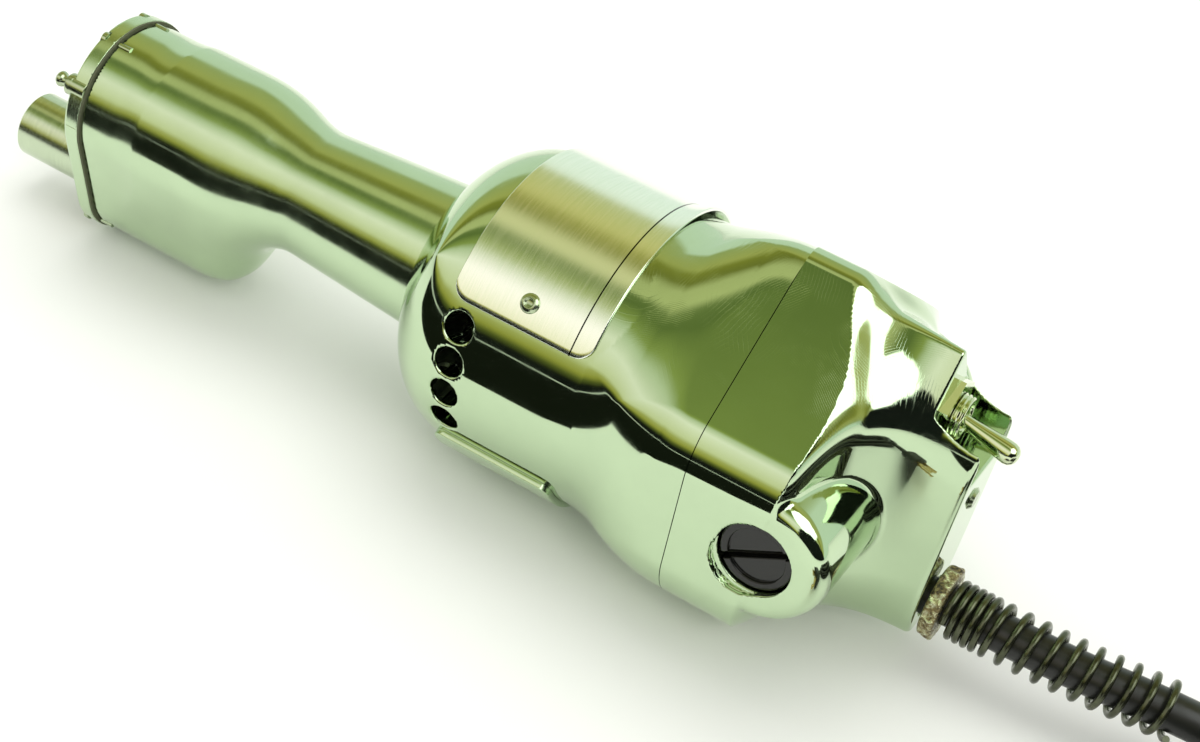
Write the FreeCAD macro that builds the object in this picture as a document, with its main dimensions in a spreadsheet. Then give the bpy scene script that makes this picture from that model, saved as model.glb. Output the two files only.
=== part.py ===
import FreeCAD, Part
import math
import os
import Sketcher
from FreeCAD import Placement, Rotation, Vector

# Autopsy saw: a mains-powered hand saw whose arbor swings a few degrees to and fro.
# Frame: +X along the motor axis towards the arbor, +Z up. The origin lies on the flat
# underside, below the seam between the motor housing and the rear housing.
# Millimetres throughout.

os.makedirs("parts", exist_ok=True)
doc = FreeCAD.newDocument("autopsy_saw")
sheet = doc.addObject("Spreadsheet::Sheet", "sizes")

# Driving sizes: name, value, meaning. Every "x" is measured from the housing seam.
SIZES = [
    ("belly_gap", 1.6, "motor barrel above the flat underside"),
    ("fit_gap", 0.02, "clearance between pieces that are pressed or screwed together"),
    ("run_gap", 0.35, "clearance between pieces that move past each other"),
    ("bush_gap", 0.05, "radial running clearance of the arbor in its bush"),
    # motor housing
    ("barrel_radius", 35.2, "outside of the motor barrel"),
    ("casing_wall", 3.6, "wall of the motor barrel"),
    ("nose_face_x", 80.8, "front face of the motor housing"),
    ("dome_radius", 20.5, "rounding of the motor housing's front edge"),
    ("fan_room_back", 30.8, "start of the fan's room, behind the nose face"),
    ("front_wall_back", 16.8, "back of the motor housing's front wall, behind the nose face"),
    ("vent_back", 21.7, "row of vent holes, behind the nose face"),
    ("vent_radius", 3.45, "vent hole"),
    ("vent_pitch", 13.8, "angle between vent holes"),
    # housing section shared by both castings
    ("side_half_width", 39.9, "flat sides from the middle plane"),
    ("ridge_height", 47.7, "sharp ridge over the motor axis"),
    ("shoulder_height", 18.0, "sharp upper corners over the motor axis"),
    ("lower_corner_drop", 19.6, "sharp lower corners under the motor axis"),
    ("belly_half_width", 18.7, "half the flat underside"),
    ("ridge_rounding", 4.0, "rounding of the ridge"),
    ("corner_rounding", 5.5, "rounding of the side corners"),
    ("flare_end_x", 31.0, "where the flare meets the round barrel"),
    ("flare_angle", 32.0, "slope of the flare"),
    ("flare_toe", 22.0, "hollow radius at the foot of the flare"),
    ("flare_crown", 14.0, "round radius at the top of the flare"),
    # rear housing
    ("block_length", 15.9, "full section behind the seam"),
    ("brush_x", 18.3, "brush axis behind the seam"),
    ("pod_radius", 15.6, "round end of the side around the brush cap"),
    ("tail_length", 47.2, "rear face behind the seam"),
    ("tail_root_x", 13.0, "front of the tail, inside the full section"),
    ("tail_end_half", 10.6, "tail half width at the rear face"),
    ("tail_flare", 29.2, "how far forward of the rear face the flare is worked out"),
    ("tail_flare_out", 26.4, "how much wider the flare is there"),
    ("tail_root_ridge", 42.2, "tail ridge at its root"),
    ("tail_end_ridge", 40.6, "tail ridge at the rear face"),
    ("tail_end_shoulder", 21.4, "tail shoulder at the rear face"),
    ("tail_shoulder_rise", 4.4, "how much higher the shoulder is on the flare"),
    ("tail_rounding", 2.0, "rounding of the tail's ridge"),
    ("tail_root_floor", 31.0, "tail underside below the motor axis, at its root"),
    ("tail_end_floor", 30.0, "tail underside below the motor axis, at the rear face"),
    ("tail_corner_drop", 20.5, "tail lower corners below the motor axis"),
    ("recess_x", 36.3, "front wall of the switch recess behind the seam"),
    ("recess_half", 8.3, "half width of the switch recess"),
    ("recess_floor", 16.6, "floor of the switch recess over the motor axis"),
    ("wall_rear", 3.0, "thin wall that carries the switch"),
    # nose housing
    ("neck_root_radius", 17.6, "neck at the motor housing"),
    ("neck_tip_radius", 14.7, "neck at the head"),
    ("neck_end_x", 122.0, "where the neck starts to swell into the head"),
    ("head_x", 146.0, "where the head's full section starts"),
    ("head_radius", 19.8, "upper round of the head"),
    ("lobe_radius", 14.6, "lower round of the head, around the arbor"),
    ("arbor_drop", 21.0, "arbor axis below the motor axis"),
    ("head_wall", 2.6, "wall of the head"),
    ("head_end_x", 173.1, "front rim of the head"),
    ("gasket_thick", 0.5, "gasket under the head cover"),
    ("cover_thick", 4.0, "head cover"),
    ("cover_screw_radius", 1.6, "cover screw thread"),
    ("spigot_radius", 13.8, "spigot that centres the neck in the motor housing"),
    ("spigot_length", 7.0, "length of that spigot"),
    ("neck_bore", 9.5, "bore of the neck"),
    # shafts and bearings
    ("shaft_radius", 4.0, "armature shaft and drive shaft"),
    ("bearing_outer", 11.0, "outside radius of the shaft bearings"),
    ("bearing_width", 7.0, "width of the shaft bearings"),
    ("rear_bearing_x", 33.0, "back of the rear bearing, behind the seam"),
    ("front_bearing_back", 14.8, "back of the front bearing, behind the nose face"),
    ("drive_bearing_x", 135.0, "back of the drive bearing in the nose"),
    ("orbit", 1.0, "offset of the eccentric"),
    ("eccentric_radius", 6.0, "eccentric hub"),
    ("eccentric_bearing_outer", 10.5, "outside radius of the eccentric's bearing"),
    ("eccentric_bearing_width", 5.0, "width of the eccentric's bearing"),
    ("eccentric_x", 149.0, "back of the eccentric's bearing"),
    ("journal_radius", 5.0, "rear journal of the arbor spindle"),
    ("spindle_bearing_outer", 9.5, "outside radius of the spindle bearing"),
    ("spindle_bearing_x", 139.0, "back of the spindle bearing"),
    ("arbor_radius", 8.15, "arbor"),
    ("front_journal_radius", 8.6, "front journal of the arbor spindle, in its bush"),
    ("arbor_step_x", 160.0, "where the spindle grows to the arbor's radius"),
    ("arbor_end_x", 202.5, "front end of the arbor"),
    ("bush_wall", 2.3, "wall of the arbor bush"),
    ("bush_x", 165.0, "back of the arbor bush"),
    ("bush_proud", 0.9, "how far the bush stands out of the cover"),
    ("blade_screw_radius", 2.5, "tapped hole for the blade screw"),
    ("blade_screw_depth", 14.0, "depth of that hole"),
    ("swing_room", 1.1, "side room that the fork needs to swing"),
    ("fork_thick", 6.0, "fork, along the axis"),
    ("fork_arm", 2.4, "arm of the fork"),
    ("fork_hub_radius", 9.2, "hub of the fork"),
    ("fork_pin_radius", 1.5, "cross pin through fork and spindle"),
    # motor
    ("core_x", 6.0, "back of the stator and armature cores"),
    ("core_back", 44.8, "front of the cores, behind the nose face"),
    ("armature_radius", 16.5, "armature core"),
    ("air_gap", 0.7, "gap between armature and poles"),
    ("yoke_ring", 4.5, "back iron of the stator"),
    ("coil_overhang", 9.0, "field coils past the stator core"),
    ("winding_overhang", 8.0, "armature winding past its core"),
    ("commutator_radius", 12.0, "commutator"),
    ("commutator_length", 14.4, "commutator bars"),
    ("fan_radius", 27.0, "cooling fan"),
    ("fan_back", 28.8, "back plate of the fan, behind the nose face"),
    ("fan_width", 7.5, "width of the fan"),
    # brush gear
    ("brush_side", 5.6, "carbon brush, square"),
    ("holder_radius", 5.6, "brush holder tube"),
    ("cap_radius", 8.4, "brush cap"),
    ("cap_recess", 1.8, "brush cap below the housing's side"),
    ("cap_thick", 5.0, "brush cap"),
    # switch
    ("switch_height", 25.2, "switch axis over the motor axis"),
    ("switch_half", 4.8, "half width and half height of the switch body"),
    ("switch_length", 17.0, "switch body"),
    ("bushing_radius", 5.0, "threaded neck of the switch"),
    ("bushing_length", 7.6, "threaded neck of the switch"),
    ("nut_flats", 14.0, "switch nut across flats"),
    ("nut_thick", 2.2, "switch nut"),
    ("lever_length", 15.5, "toggle lever from its pivot to its tip"),
    ("lever_root_radius", 1.4, "toggle lever at the pivot"),
    ("lever_neck_radius", 2.1, "toggle lever behind its round tip"),
    ("lever_pin_length", 4.8, "cross pin that the toggle lever turns on"),
    ("lever_tip_radius", 2.5, "toggle lever at its round tip"),
    ("lever_drop", 12.5, "angle of the lever below the switch axis at rest"),
    # plates and small pieces
    ("plate_thick", 0.7, "nameplate"),
    ("plate_x", 29.5, "back edge of the nameplate"),
    ("plate_length", 33.9, "nameplate"),
    ("plate_angle", 60.0, "nameplate, half its angle round the barrel"),
    ("plate_corner", 4.0, "corners of the nameplate"),
    ("rivet_x", 46.4, "nameplate rivets"),
    ("rivet_angle", 50.5, "nameplate rivets from the top"),
    ("belly_plate_thick", 1.45, "access plate under the barrel"),
    ("belly_plate_x", 32.0, "back edge of the access plate"),
    ("belly_plate_length", 30.0, "access plate"),
    ("belly_plate_angle", 60.0, "access plate, half its angle round the barrel"),
    ("belly_screw_angle", 44.0, "access plate screws from the bottom"),
    ("nipple_side", 15.8, "grease nipple from the middle plane"),
    ("nipple_up", 8.6, "grease nipple over the motor axis"),
    # cord
    ("cord_radius", 4.4, "mains cord"),
    ("cord_drop", 21.4, "cord below the motor axis where it leaves the housing"),
    ("ferrule_radius", 8.6, "crimped ferrule at the cord's exit"),
    ("ferrule_length", 3.6, "crimped ferrule"),
    ("spring_radius", 6.75, "strain-relief spring, outside"),
    ("spring_wire", 1.7, "wire of the strain-relief spring"),
    ("coil_mid_radius", 48.5, "put-away coil at the middle of its turns"),
    ("coil_turns_wide", 3.0, "turns of the coil side by side, and on each other"),
    ("coil_x", -173.6, "centre of the put-away coil"),
    ("coil_y", 26.4, "centre of the put-away coil"),
    ("plug_radius", 15.0, "plug body"),
    ("plug_length", 62.0, "plug body with its sleeve"),
    ("plug_side", 46.6, "plug from the middle of the coil"),
]


class Length:
    """A size that knows its number and the sheet expression that gives it."""

    def __init__(self, value, text):
        self.value = float(value)
        self.text = text

    def __add__(self, other):
        other = length(other)
        return Length(self.value + other.value, f"({self.text} + {other.text})")

    def __radd__(self, other):
        return length(other) + self

    def __sub__(self, other):
        other = length(other)
        return Length(self.value - other.value, f"({self.text} - {other.text})")

    def __rsub__(self, other):
        return length(other) - self

    def __mul__(self, other):
        other = length(other)
        return Length(self.value * other.value, f"({self.text} * {other.text})")

    def __rmul__(self, other):
        return length(other) * self

    def __truediv__(self, other):
        other = length(other)
        return Length(self.value / other.value, f"({self.text} / {other.text})")

    def __neg__(self):
        return length(0) - self


def length(thing):
    return thing if isinstance(thing, Length) else Length(thing, repr(float(thing)))


def root(thing):
    return Length(math.sqrt(thing.value), f"sqrt({thing.text})")


def sine(angle):
    angle = length(angle)
    return Length(math.sin(math.radians(angle.value)), f"sin({angle.text} * 1deg)")


def cosine(angle):
    angle = length(angle)
    return Length(math.cos(math.radians(angle.value)), f"cos({angle.text} * 1deg)")


class Sizes:
    """The sheet's sizes by name."""


S = Sizes()
for row, (name, value, meaning) in enumerate(SIZES, start=1):
    sheet.set(f"A{row}", meaning)
    sheet.set(f"B{row}", repr(value))
    sheet.setAlias(f"B{row}", name)
    setattr(S, name, Length(value, f"sizes.{name}"))
doc.recompute()

# Worked out from the sizes
S.axis_height = S.barrel_radius + S.belly_gap
S.fan_room_x = S.nose_face_x - S.fan_room_back
S.front_wall_x = S.nose_face_x - S.front_wall_back
S.vent_x = S.nose_face_x - S.vent_back
S.front_bearing_x = S.nose_face_x - S.front_bearing_back
S.fan_x = S.nose_face_x - S.fan_back
S.core_length = S.nose_face_x - S.core_back - S.core_x


def bind(thing, prop, size):
    """Tie a property to the sheet."""
    thing.setExpression(prop, length(size).text)


def place(thing, x=0, y=0, z=0, axis=None, angle=0):
    """Put a piece at x, y, z, turned by an angle about an axis."""
    if axis is not None:
        thing.Placement = Placement(Vector(), Rotation(axis, length(angle).value))
    for letter, size in zip("xyz", (x, y, z)):
        bind(thing, f"Placement.Base.{letter}", size)
    return thing


TO_X = (Vector(0, 1, 0), 90)
TO_Y = (Vector(1, 0, 0), -90)


def cylinder(name, radius, long, x=0, y=0, z=0, turn=TO_X, angle=None, first=0):
    """A cylinder along X (or as turned), or a sector of one that starts at an angle."""
    piece = doc.addObject("Part::Cylinder", name)
    bind(piece, "Radius", radius)
    bind(piece, "Height", long)
    place(piece, x, y, z, *turn)
    if angle is not None:
        # a sector's own start is -Z after the turn to X, so it is turned round X as well
        bind(piece, "Angle", angle)
        spin = Rotation(Vector(1, 0, 0), first + 90)
        piece.Placement = Placement(piece.Placement.Base, spin.multiply(Rotation(*TO_X)))
    return piece


def box(name, x, y, z, long, wide, high):
    piece = doc.addObject("Part::Box", name)
    bind(piece, "Length", long)
    bind(piece, "Width", wide)
    bind(piece, "Height", high)
    return place(piece, x, y, z)


def cut(label, base, *tools):
    """Base less its tools, which are fused first when there are several."""
    piece = doc.addObject("Part::Cut", label)
    piece.Base = base
    piece.Tool = tools[0] if len(tools) == 1 else fuse(label + "_tools", *tools)
    return piece


def fuse(label, *shapes):
    piece = doc.addObject("Part::MultiFuse", label)
    piece.Shapes = list(shapes)
    return piece


def common(label, *shapes):
    piece = doc.addObject("Part::MultiCommon", label)
    piece.Shapes = list(shapes)
    return piece


def group(label, *shapes):
    """Separate solids that share one node."""
    piece = doc.addObject("Part::Compound", label)
    piece.Links = list(shapes)
    return piece


def tube(label, outer, inner, long, x, y=0, z=0):
    """A plain ring or tube along X."""
    solid = cylinder(label + "_outside", outer, long, x, y, z)
    hole = cylinder(label + "_bore", inner, long + 2, x - 1, y, z)
    return cut(label, solid, hole)


def new_body(label, z=None):
    body = doc.addObject("PartDesign::Body", label)
    place(body, z=S.axis_height if z is None else z)
    return body


def origin_plane(body, role):
    for feature in body.Origin.OriginFeatures:
        if feature.Role == role:
            return feature
    raise ValueError(role)


def new_sketch(body, role, offset=0):
    sketch = body.newObject("Sketcher::SketchObject", body.Name + "_sketch")
    sketch.AttachmentSupport = [(origin_plane(body, role), "")]
    sketch.MapMode = "FlatFace"
    bind(sketch, "AttachmentOffset.Base.z", offset)
    return sketch


def pin_point(sketch, edge, end, x, y, name):
    """Hold a sketch point at x, y from the origin, by the sheet."""
    for axis, size, kind, line in (("x", x, "DistanceX", -2), ("y", y, "DistanceY", -1)):
        size = length(size)
        if size.text in ("0.0", "-0.0"):
            sketch.addConstraint(Sketcher.Constraint("PointOnObject", edge, end, line))
            continue
        index = sketch.addConstraint(Sketcher.Constraint(kind, -1, 1, edge, end, size.value))
        sketch.renameConstraint(index, name + axis)
        sketch.setExpression("Constraints." + name + axis, size.text)


def outline(sketch, points):
    """A closed outline. A point is (x, y), or (x, y, radius, side) to come to it by an arc.

    Side is 1 where the arc turns left on its way to the point, and -1 where it turns right.
    """
    spots = [Vector(length(p[0]).value, length(p[1]).value, 0) for p in points]
    arrive, leave = [], []
    for index, point in enumerate(points):
        start, stop = spots[index - 1], spots[index]
        if len(point) == 2:
            sketch.addGeometry(Part.LineSegment(start, stop), False)
            arrive.append(2)
            leave.append(1)
            continue
        radius, side = length(point[2]).value, point[3]
        half = (stop - start) * 0.5
        rise = math.sqrt(max(radius ** 2 - half.Length ** 2, 0.0))
        centre = start + half + Vector(-half.y, half.x, 0).normalize() * (rise * side)
        angles = [math.atan2(spot.y - centre.y, spot.x - centre.x) for spot in (start, stop)]
        if side < 0:
            angles.reverse()
        circle = Part.Circle(centre, Vector(0, 0, 1), radius)
        sketch.addGeometry(Part.ArcOfCircle(circle, *angles), False)
        arrive.append(2 if side > 0 else 1)
        leave.append(1 if side > 0 else 2)
    for index, point in enumerate(points):
        pin_point(sketch, index, arrive[index], point[0], point[1], f"p{index}")
        before = (index - 1) % len(points)
        joint = Sketcher.Constraint("Coincident", before, arrive[before], index, leave[index])
        sketch.addConstraint(joint)
        if len(point) == 4:
            radius = length(point[2])
            bound = sketch.addConstraint(Sketcher.Constraint("Radius", index, radius.value))
            sketch.renameConstraint(bound, f"r{index}")
            sketch.setExpression(f"Constraints.r{index}", radius.text)
    return sketch


def pad(body, sketch, long, reverse=False):
    feature = body.newObject("PartDesign::Pad", body.Name + "_pad")
    feature.Profile = sketch
    bind(feature, "Length", long)
    feature.Reversed = reverse
    return feature


def prism(label, points, start, long, z=None):
    """A section in the YZ plane, drawn from x = start towards +X."""
    body = new_body(label, z)
    sketch = outline(new_sketch(body, "YZ_Plane", start), points)
    pad(body, sketch, long)
    return body


def lathe(label, points, z=None, y=None):
    """An outline of (x, radius) points turned about the X axis."""
    body = new_body(label, z)
    if y is not None:
        bind(body, "Placement.Base.y", y)
    sketch = outline(new_sketch(body, "XZ_Plane"), points)
    turn = body.newObject("PartDesign::Revolution", label + "_turn")
    turn.Profile = sketch
    turn.ReferenceAxis = (sketch, ["H_Axis"])
    turn.Angle = 360
    return body


def round_long_edges(body, sizes):
    """Round a prism's edges along X: sizes holds (test of an edge's y and z, radius)."""
    doc.recompute()
    for test, radius in sizes:
        names = []
        base = body.Tip
        for number, edge in enumerate(base.Shape.Edges, start=1):
            first, last = edge.Vertexes[0].Point, edge.Vertexes[-1].Point
            if abs(last.x - first.x) > 0.7 * edge.Length and test(edge.CenterOfMass):
                names.append(f"Edge{number}")
        feature = body.newObject("PartDesign::Fillet", body.Name + "_round")
        feature.Base = (base, names)
        bind(feature, "Radius", radius)
        doc.recompute()
    return body


def housing_section():
    """The section that both castings share: a ridge on top and a flat underside."""
    return [
        (0, S.ridge_height),
        (-S.side_half_width, S.shoulder_height),
        (-S.side_half_width, -S.lower_corner_drop),
        (-S.belly_half_width, -S.axis_height),
        (S.belly_half_width, -S.axis_height),
        (S.side_half_width, -S.lower_corner_drop),
        (S.side_half_width, S.shoulder_height),
    ]


def housing_prism(label, start, long):
    body = prism(label, housing_section(), start, long)
    return round_long_edges(body, [
        (lambda p: abs(p.y) < 1 and p.z > 0, S.ridge_rounding),
        (lambda p: abs(p.y) > S.side_half_width.value - 1, S.corner_rounding),
        (lambda p: 1 < abs(p.y) < S.side_half_width.value - 8 and p.z < 0, S.corner_rounding),
    ])


# Motor housing

def motor_housing():
    inner = S.barrel_radius - S.casing_wall
    flat = S.barrel_radius - S.dome_radius
    barrel = lathe("motor_barrel", [
        (0, 0), (S.nose_face_x, 0), (S.nose_face_x, flat),
        (S.nose_face_x - S.dome_radius, S.barrel_radius, S.dome_radius, 1),
        (0, S.barrel_radius),
    ])
    slope_s, slope_c = sine(S.flare_angle), cosine(S.flare_angle)
    # the flare: a hollow toe, a straight cone and a round crown, turned about the axis
    sink = 0.05
    toe_x = S.flare_end_x - S.flare_toe * slope_s
    toe_r = S.barrel_radius - sink + S.flare_toe * (1 - slope_c)
    crown_r = S.ridge_height - S.flare_crown * (1 - slope_c)
    crown_x = toe_x - (crown_r - toe_r) * slope_c / slope_s
    flare = lathe("flare_limit", [
        (-1, 0), (S.flare_end_x, 0), (S.flare_end_x, S.barrel_radius - sink),
        (toe_x, toe_r, S.flare_toe, -1),
        (crown_x, crown_r),
        (crown_x - S.flare_crown * slope_s, S.ridge_height, S.flare_crown, 1),
        (-1, S.ridge_height),
    ])
    section = housing_prism("motor_section", 0, S.flare_end_x)
    shell = fuse("motor_shell", barrel, common("motor_flare", section, flare))
    pocket = S.front_bearing_x + S.bearing_width
    cavity = lathe("motor_cavity", [
        (-1, 0), (S.nose_face_x + 1, 0), (S.nose_face_x + 1, S.spigot_radius + S.fit_gap),
        (S.nose_face_x - S.spigot_length, S.spigot_radius + S.fit_gap),
        (S.nose_face_x - S.spigot_length, S.bearing_outer - 2),
        (pocket, S.bearing_outer - 2),
        (pocket, S.bearing_outer + S.fit_gap),
        (S.front_wall_x, S.bearing_outer + S.fit_gap),
        (S.front_wall_x, S.fan_radius + 2.5),
        (S.fan_room_x, S.fan_radius + 2.5),
        (S.fan_room_x, inner),
        (-1, inner),
    ])
    holes = []
    for side in (0, 180):
        for step in (-1.5, -0.5, 0.5, 1.5):
            hole = cylinder(f"vent_{side}_{int(step * 2)}", S.vent_radius, S.barrel_radius + 4,
                            S.vent_x, 0, S.axis_height, TO_Y)
            turn = Rotation(Vector(1, 0, 0), side + step * S.vent_pitch.value)
            hole.Placement = Placement(hole.Placement.Base, turn.multiply(Rotation(*TO_Y)))
            holes.append(hole)
    screws = [belly_screw_tool(f"belly_screw_hole_{side}", side, S.cover_screw_radius + S.fit_gap)
              for side in (-1, 1)]
    rivets = [rivet_tool(f"rivet_hole_{side}", side, 1.1 + S.fit_gap, 2.4) for side in (-1, 1)]
    return cut("motor_housing", shell, cavity, *holes, *screws, *rivets)


def radial(name, angle_from_y, x, radius, start, long):
    """A cylinder along a radius of the barrel, at an angle from +Y."""
    spin = Rotation(Vector(1, 0, 0), angle_from_y)
    piece = cylinder(name, radius, long)
    arm = math.radians(angle_from_y)
    place(piece, x, start * math.cos(arm), S.axis_height + start * math.sin(arm))
    piece.Placement = Placement(piece.Placement.Base, spin.multiply(Rotation(*TO_Y)))
    return piece


def belly_screw_tool(name, side, radius):
    angle = -90 + side * S.belly_screw_angle.value
    return radial(name, angle, S.belly_plate_x + S.belly_plate_length / 2, radius,
                  S.barrel_radius - 2.5, length(6))


def rivet_tool(name, side, radius, depth):
    angle = 90 + side * S.rivet_angle.value
    return radial(name, angle, S.rivet_x, radius, S.barrel_radius - depth, length(6))


# Rear housing

def tail_loft():
    """The tail: a narrow spine that flares out, in a hollow curve, into the full section."""
    reach = S.tail_length - S.tail_root_x
    body = new_body("tail_form")
    sketches = []
    for share in (1.0, 0.73, 0.5, 0.28, 0.0):
        ahead = reach * share
        part = ahead / S.tail_flare
        half = S.tail_end_half + S.tail_flare_out * part * part * part
        ridge = S.tail_end_ridge + (S.tail_root_ridge - S.tail_end_ridge) * share
        shoulder = S.tail_end_shoulder + S.tail_shoulder_rise * min(1.0, share * 2)
        floor = S.tail_end_floor + (S.tail_root_floor - S.tail_end_floor) * share
        if share == 1.0:
            half = S.side_half_width - 2
            shoulder = S.shoulder_height + 0.5
        sketches.append(outline(new_sketch(body, "YZ_Plane", ahead - S.tail_length), [
            (0, ridge), (-half, shoulder), (-half, -S.tail_corner_drop), (-half * 0.45, -floor),
            (half * 0.45, -floor), (half, -S.tail_corner_drop), (half, shoulder),
        ]))
    loft = body.newObject("PartDesign::AdditiveLoft", "tail_loft")
    loft.Profile = sketches[0]
    loft.Sections = sketches[1:]
    loft.Ruled = True
    return round_long_edges(body, [(lambda p: abs(p.y) < 1 and p.z > 0, S.tail_rounding)])


def rear_housing():
    pod_end = S.brush_x + S.pod_radius
    section = housing_prism("rear_section", -pod_end - 1, pod_end + 1)
    profile = new_body("rear_profile")
    sketch = outline(new_sketch(profile, "XZ_Plane", -S.side_half_width - 1), [
        (0, -S.axis_height - 1), (0, S.ridge_height + 1), (-S.block_length, S.ridge_height + 1),
        (-S.block_length, -S.axis_height - 1),
    ])
    pad(profile, sketch, S.side_half_width * 2 + 2)
    pods = cylinder("brush_pods", S.pod_radius, S.side_half_width * 2 + 2, -S.brush_x,
                    -S.side_half_width - 1, S.axis_height, TO_Y)
    bridge = box("pod_bridge", -S.brush_x, -S.side_half_width - 1, S.axis_height - S.pod_radius,
                 S.brush_x, S.side_half_width * 2 + 2, S.pod_radius * 2)
    block = common("rear_block", section, fuse("rear_side_view", profile, pods, bridge))
    shell = fuse("rear_shell", block, tail_loft())
    bearing_front = S.rear_bearing_x - S.bearing_width
    cavity = lathe("rear_cavity", [
        (1, 0), (1, S.barrel_radius - S.casing_wall), (-12, S.barrel_radius - S.casing_wall),
        (-12, 19), (-bearing_front, 19), (-bearing_front, S.bearing_outer + S.fit_gap),
        (-S.rear_bearing_x, S.bearing_outer + S.fit_gap), (-S.rear_bearing_x, S.shaft_radius + 2),
        (-S.rear_bearing_x - 3, S.shaft_radius + 2), (-S.rear_bearing_x - 3, 0),
    ])
    cap_floor = S.side_half_width - S.cap_recess - S.cap_thick
    tools = [cavity]
    for side in (-1, 1):
        seat = cylinder(f"cap_seat_{side}", S.cap_radius + S.fit_gap, S.cap_recess + S.cap_thick + 1,
                        -S.brush_x, cap_floor if side > 0 else -S.side_half_width - 1,
                        S.axis_height, TO_Y)
        tools.append(seat)
    tools.append(cylinder("holder_hole", S.holder_radius + S.fit_gap, cap_floor * 2, -S.brush_x,
                          -cap_floor, S.axis_height, TO_Y))
    top = S.axis_height + S.switch_height
    tools.append(box("switch_room", -S.recess_x + S.wall_rear, -S.switch_half - S.fit_gap,
                     top - S.switch_half - S.fit_gap, S.recess_x, S.switch_half * 2 + S.fit_gap * 2,
                     S.switch_half * 2 + S.fit_gap * 2))
    tools.append(cylinder("switch_hole", S.bushing_radius + S.fit_gap, S.wall_rear + 2,
                          -S.recess_x - 1, 0, top))
    tools.append(box("switch_recess", -S.tail_length - 1, -S.recess_half,
                     S.axis_height + S.recess_floor, S.tail_length + 1 - S.recess_x,
                     S.recess_half * 2, S.ridge_height))
    tools.append(cylinder("cord_hole", S.cord_radius + S.fit_gap * 5, S.tail_length - 8,
                          -S.tail_length - 1, 0, S.axis_height - S.cord_drop))
    tools.append(cylinder("rear_screw_hole", S.cover_screw_radius + S.fit_gap, 8,
                          -S.tail_length - 1, 0, S.axis_height + rear_screw_up()))
    return cut("rear_housing", shell, *tools)


def rear_screw_up():
    """The screw in the rear face sits half way between the recess and the cord."""
    return S.recess_floor / 2 - 0.5


# Nose housing and its cover

def hull_side(upper, lower, drop):
    """The four corners of the flat sides that join two rounds, one above the other."""
    lean = (upper - lower) / drop
    out = root(1 - lean * lean)
    return [
        (upper * out, -upper * lean), (lower * out, -drop - lower * lean),
        (-lower * out, -drop - lower * lean), (-upper * out, -upper * lean),
    ]


def hull(label, upper, lower, start, long):
    """An egg-shaped prism: the head's section, or its inside."""
    top = cylinder(label + "_top", upper, long, start, 0, S.axis_height)
    low = cylinder(label + "_low", lower, long, start, 0, S.axis_height - S.arbor_drop)
    side = prism(label + "_side", hull_side(upper, lower, S.arbor_drop), start, long)
    return fuse(label, top, low, side)


def nose_housing():
    rise = S.head_radius - S.neck_tip_radius
    run = S.head_x - S.neck_end_x
    ogee = (run * run + rise * rise) / (rise * 4)
    neck = lathe("neck_form", [
        (S.nose_face_x - S.spigot_length, 0), (S.head_end_x, 0), (S.head_end_x, S.head_radius),
        (S.head_x, S.head_radius),
        (S.neck_end_x + run / 2, S.neck_tip_radius + rise / 2, ogee, 1),
        (S.neck_end_x, S.neck_tip_radius, ogee, -1),
        (S.nose_face_x + S.fit_gap, S.neck_root_radius),
        (S.nose_face_x + S.fit_gap, S.spigot_radius),
        (S.nose_face_x - S.spigot_length, S.spigot_radius),
    ])
    head_long = S.head_end_x - S.head_x
    head = hull("head_form", S.head_radius, S.lobe_radius, S.head_x, head_long)
    ball = doc.addObject("Part::Sphere", "lobe_end")
    bind(ball, "Radius", S.lobe_radius)
    place(ball, S.head_x, 0, S.axis_height - S.arbor_drop)
    cheek = new_body("lobe_cheek")
    wide = outline(new_sketch(cheek, "YZ_Plane", S.head_x),
                   hull_side(S.head_radius, S.lobe_radius, S.arbor_drop))
    slim = outline(new_sketch(cheek, "YZ_Plane", S.head_x - S.lobe_radius), [
        (S.lobe_radius * 0.35, -S.neck_tip_radius * 0.6), (S.lobe_radius * 0.25, -S.arbor_drop),
        (-S.lobe_radius * 0.25, -S.arbor_drop), (-S.lobe_radius * 0.35, -S.neck_tip_radius * 0.6),
    ])
    blend = cheek.newObject("PartDesign::AdditiveLoft", "lobe_blend")
    blend.Profile = wide
    blend.Sections = [slim]
    blend.Ruled = True
    shell = fuse("nose_shell", neck, head, ball, cheek)
    room_x = S.drive_bearing_x + S.bearing_width
    seat_end = S.spindle_bearing_x + S.eccentric_bearing_width
    room = hull("head_room", S.head_radius - S.head_wall, S.lobe_radius - S.head_wall,
                seat_end, S.head_end_x - seat_end + 1)
    upper_room = cylinder("head_upper_room", S.head_radius - S.head_wall, S.head_end_x - room_x,
                          room_x, 0, S.axis_height)
    bore = lathe("neck_hole", [
        (S.nose_face_x - S.spigot_length - 1, 0), (room_x + 1, 0),
        (room_x + 1, S.bearing_outer + S.fit_gap),
        (S.drive_bearing_x, S.bearing_outer + S.fit_gap),
        (S.drive_bearing_x, S.neck_bore),
        (S.nose_face_x - S.spigot_length - 1, S.neck_bore),
    ])
    seat = cylinder("spindle_seat", S.spindle_bearing_outer + S.fit_gap,
                    S.eccentric_bearing_width + 1, S.spindle_bearing_x, 0,
                    S.axis_height - S.arbor_drop)
    holes = [cover_screw_hole(f"head_screw_hole_{index}", index, S.head_end_x - 7, 8)
             for index in range(4)]
    return cut("nose_housing", shell, room, upper_room, bore, seat, *holes)


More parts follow.
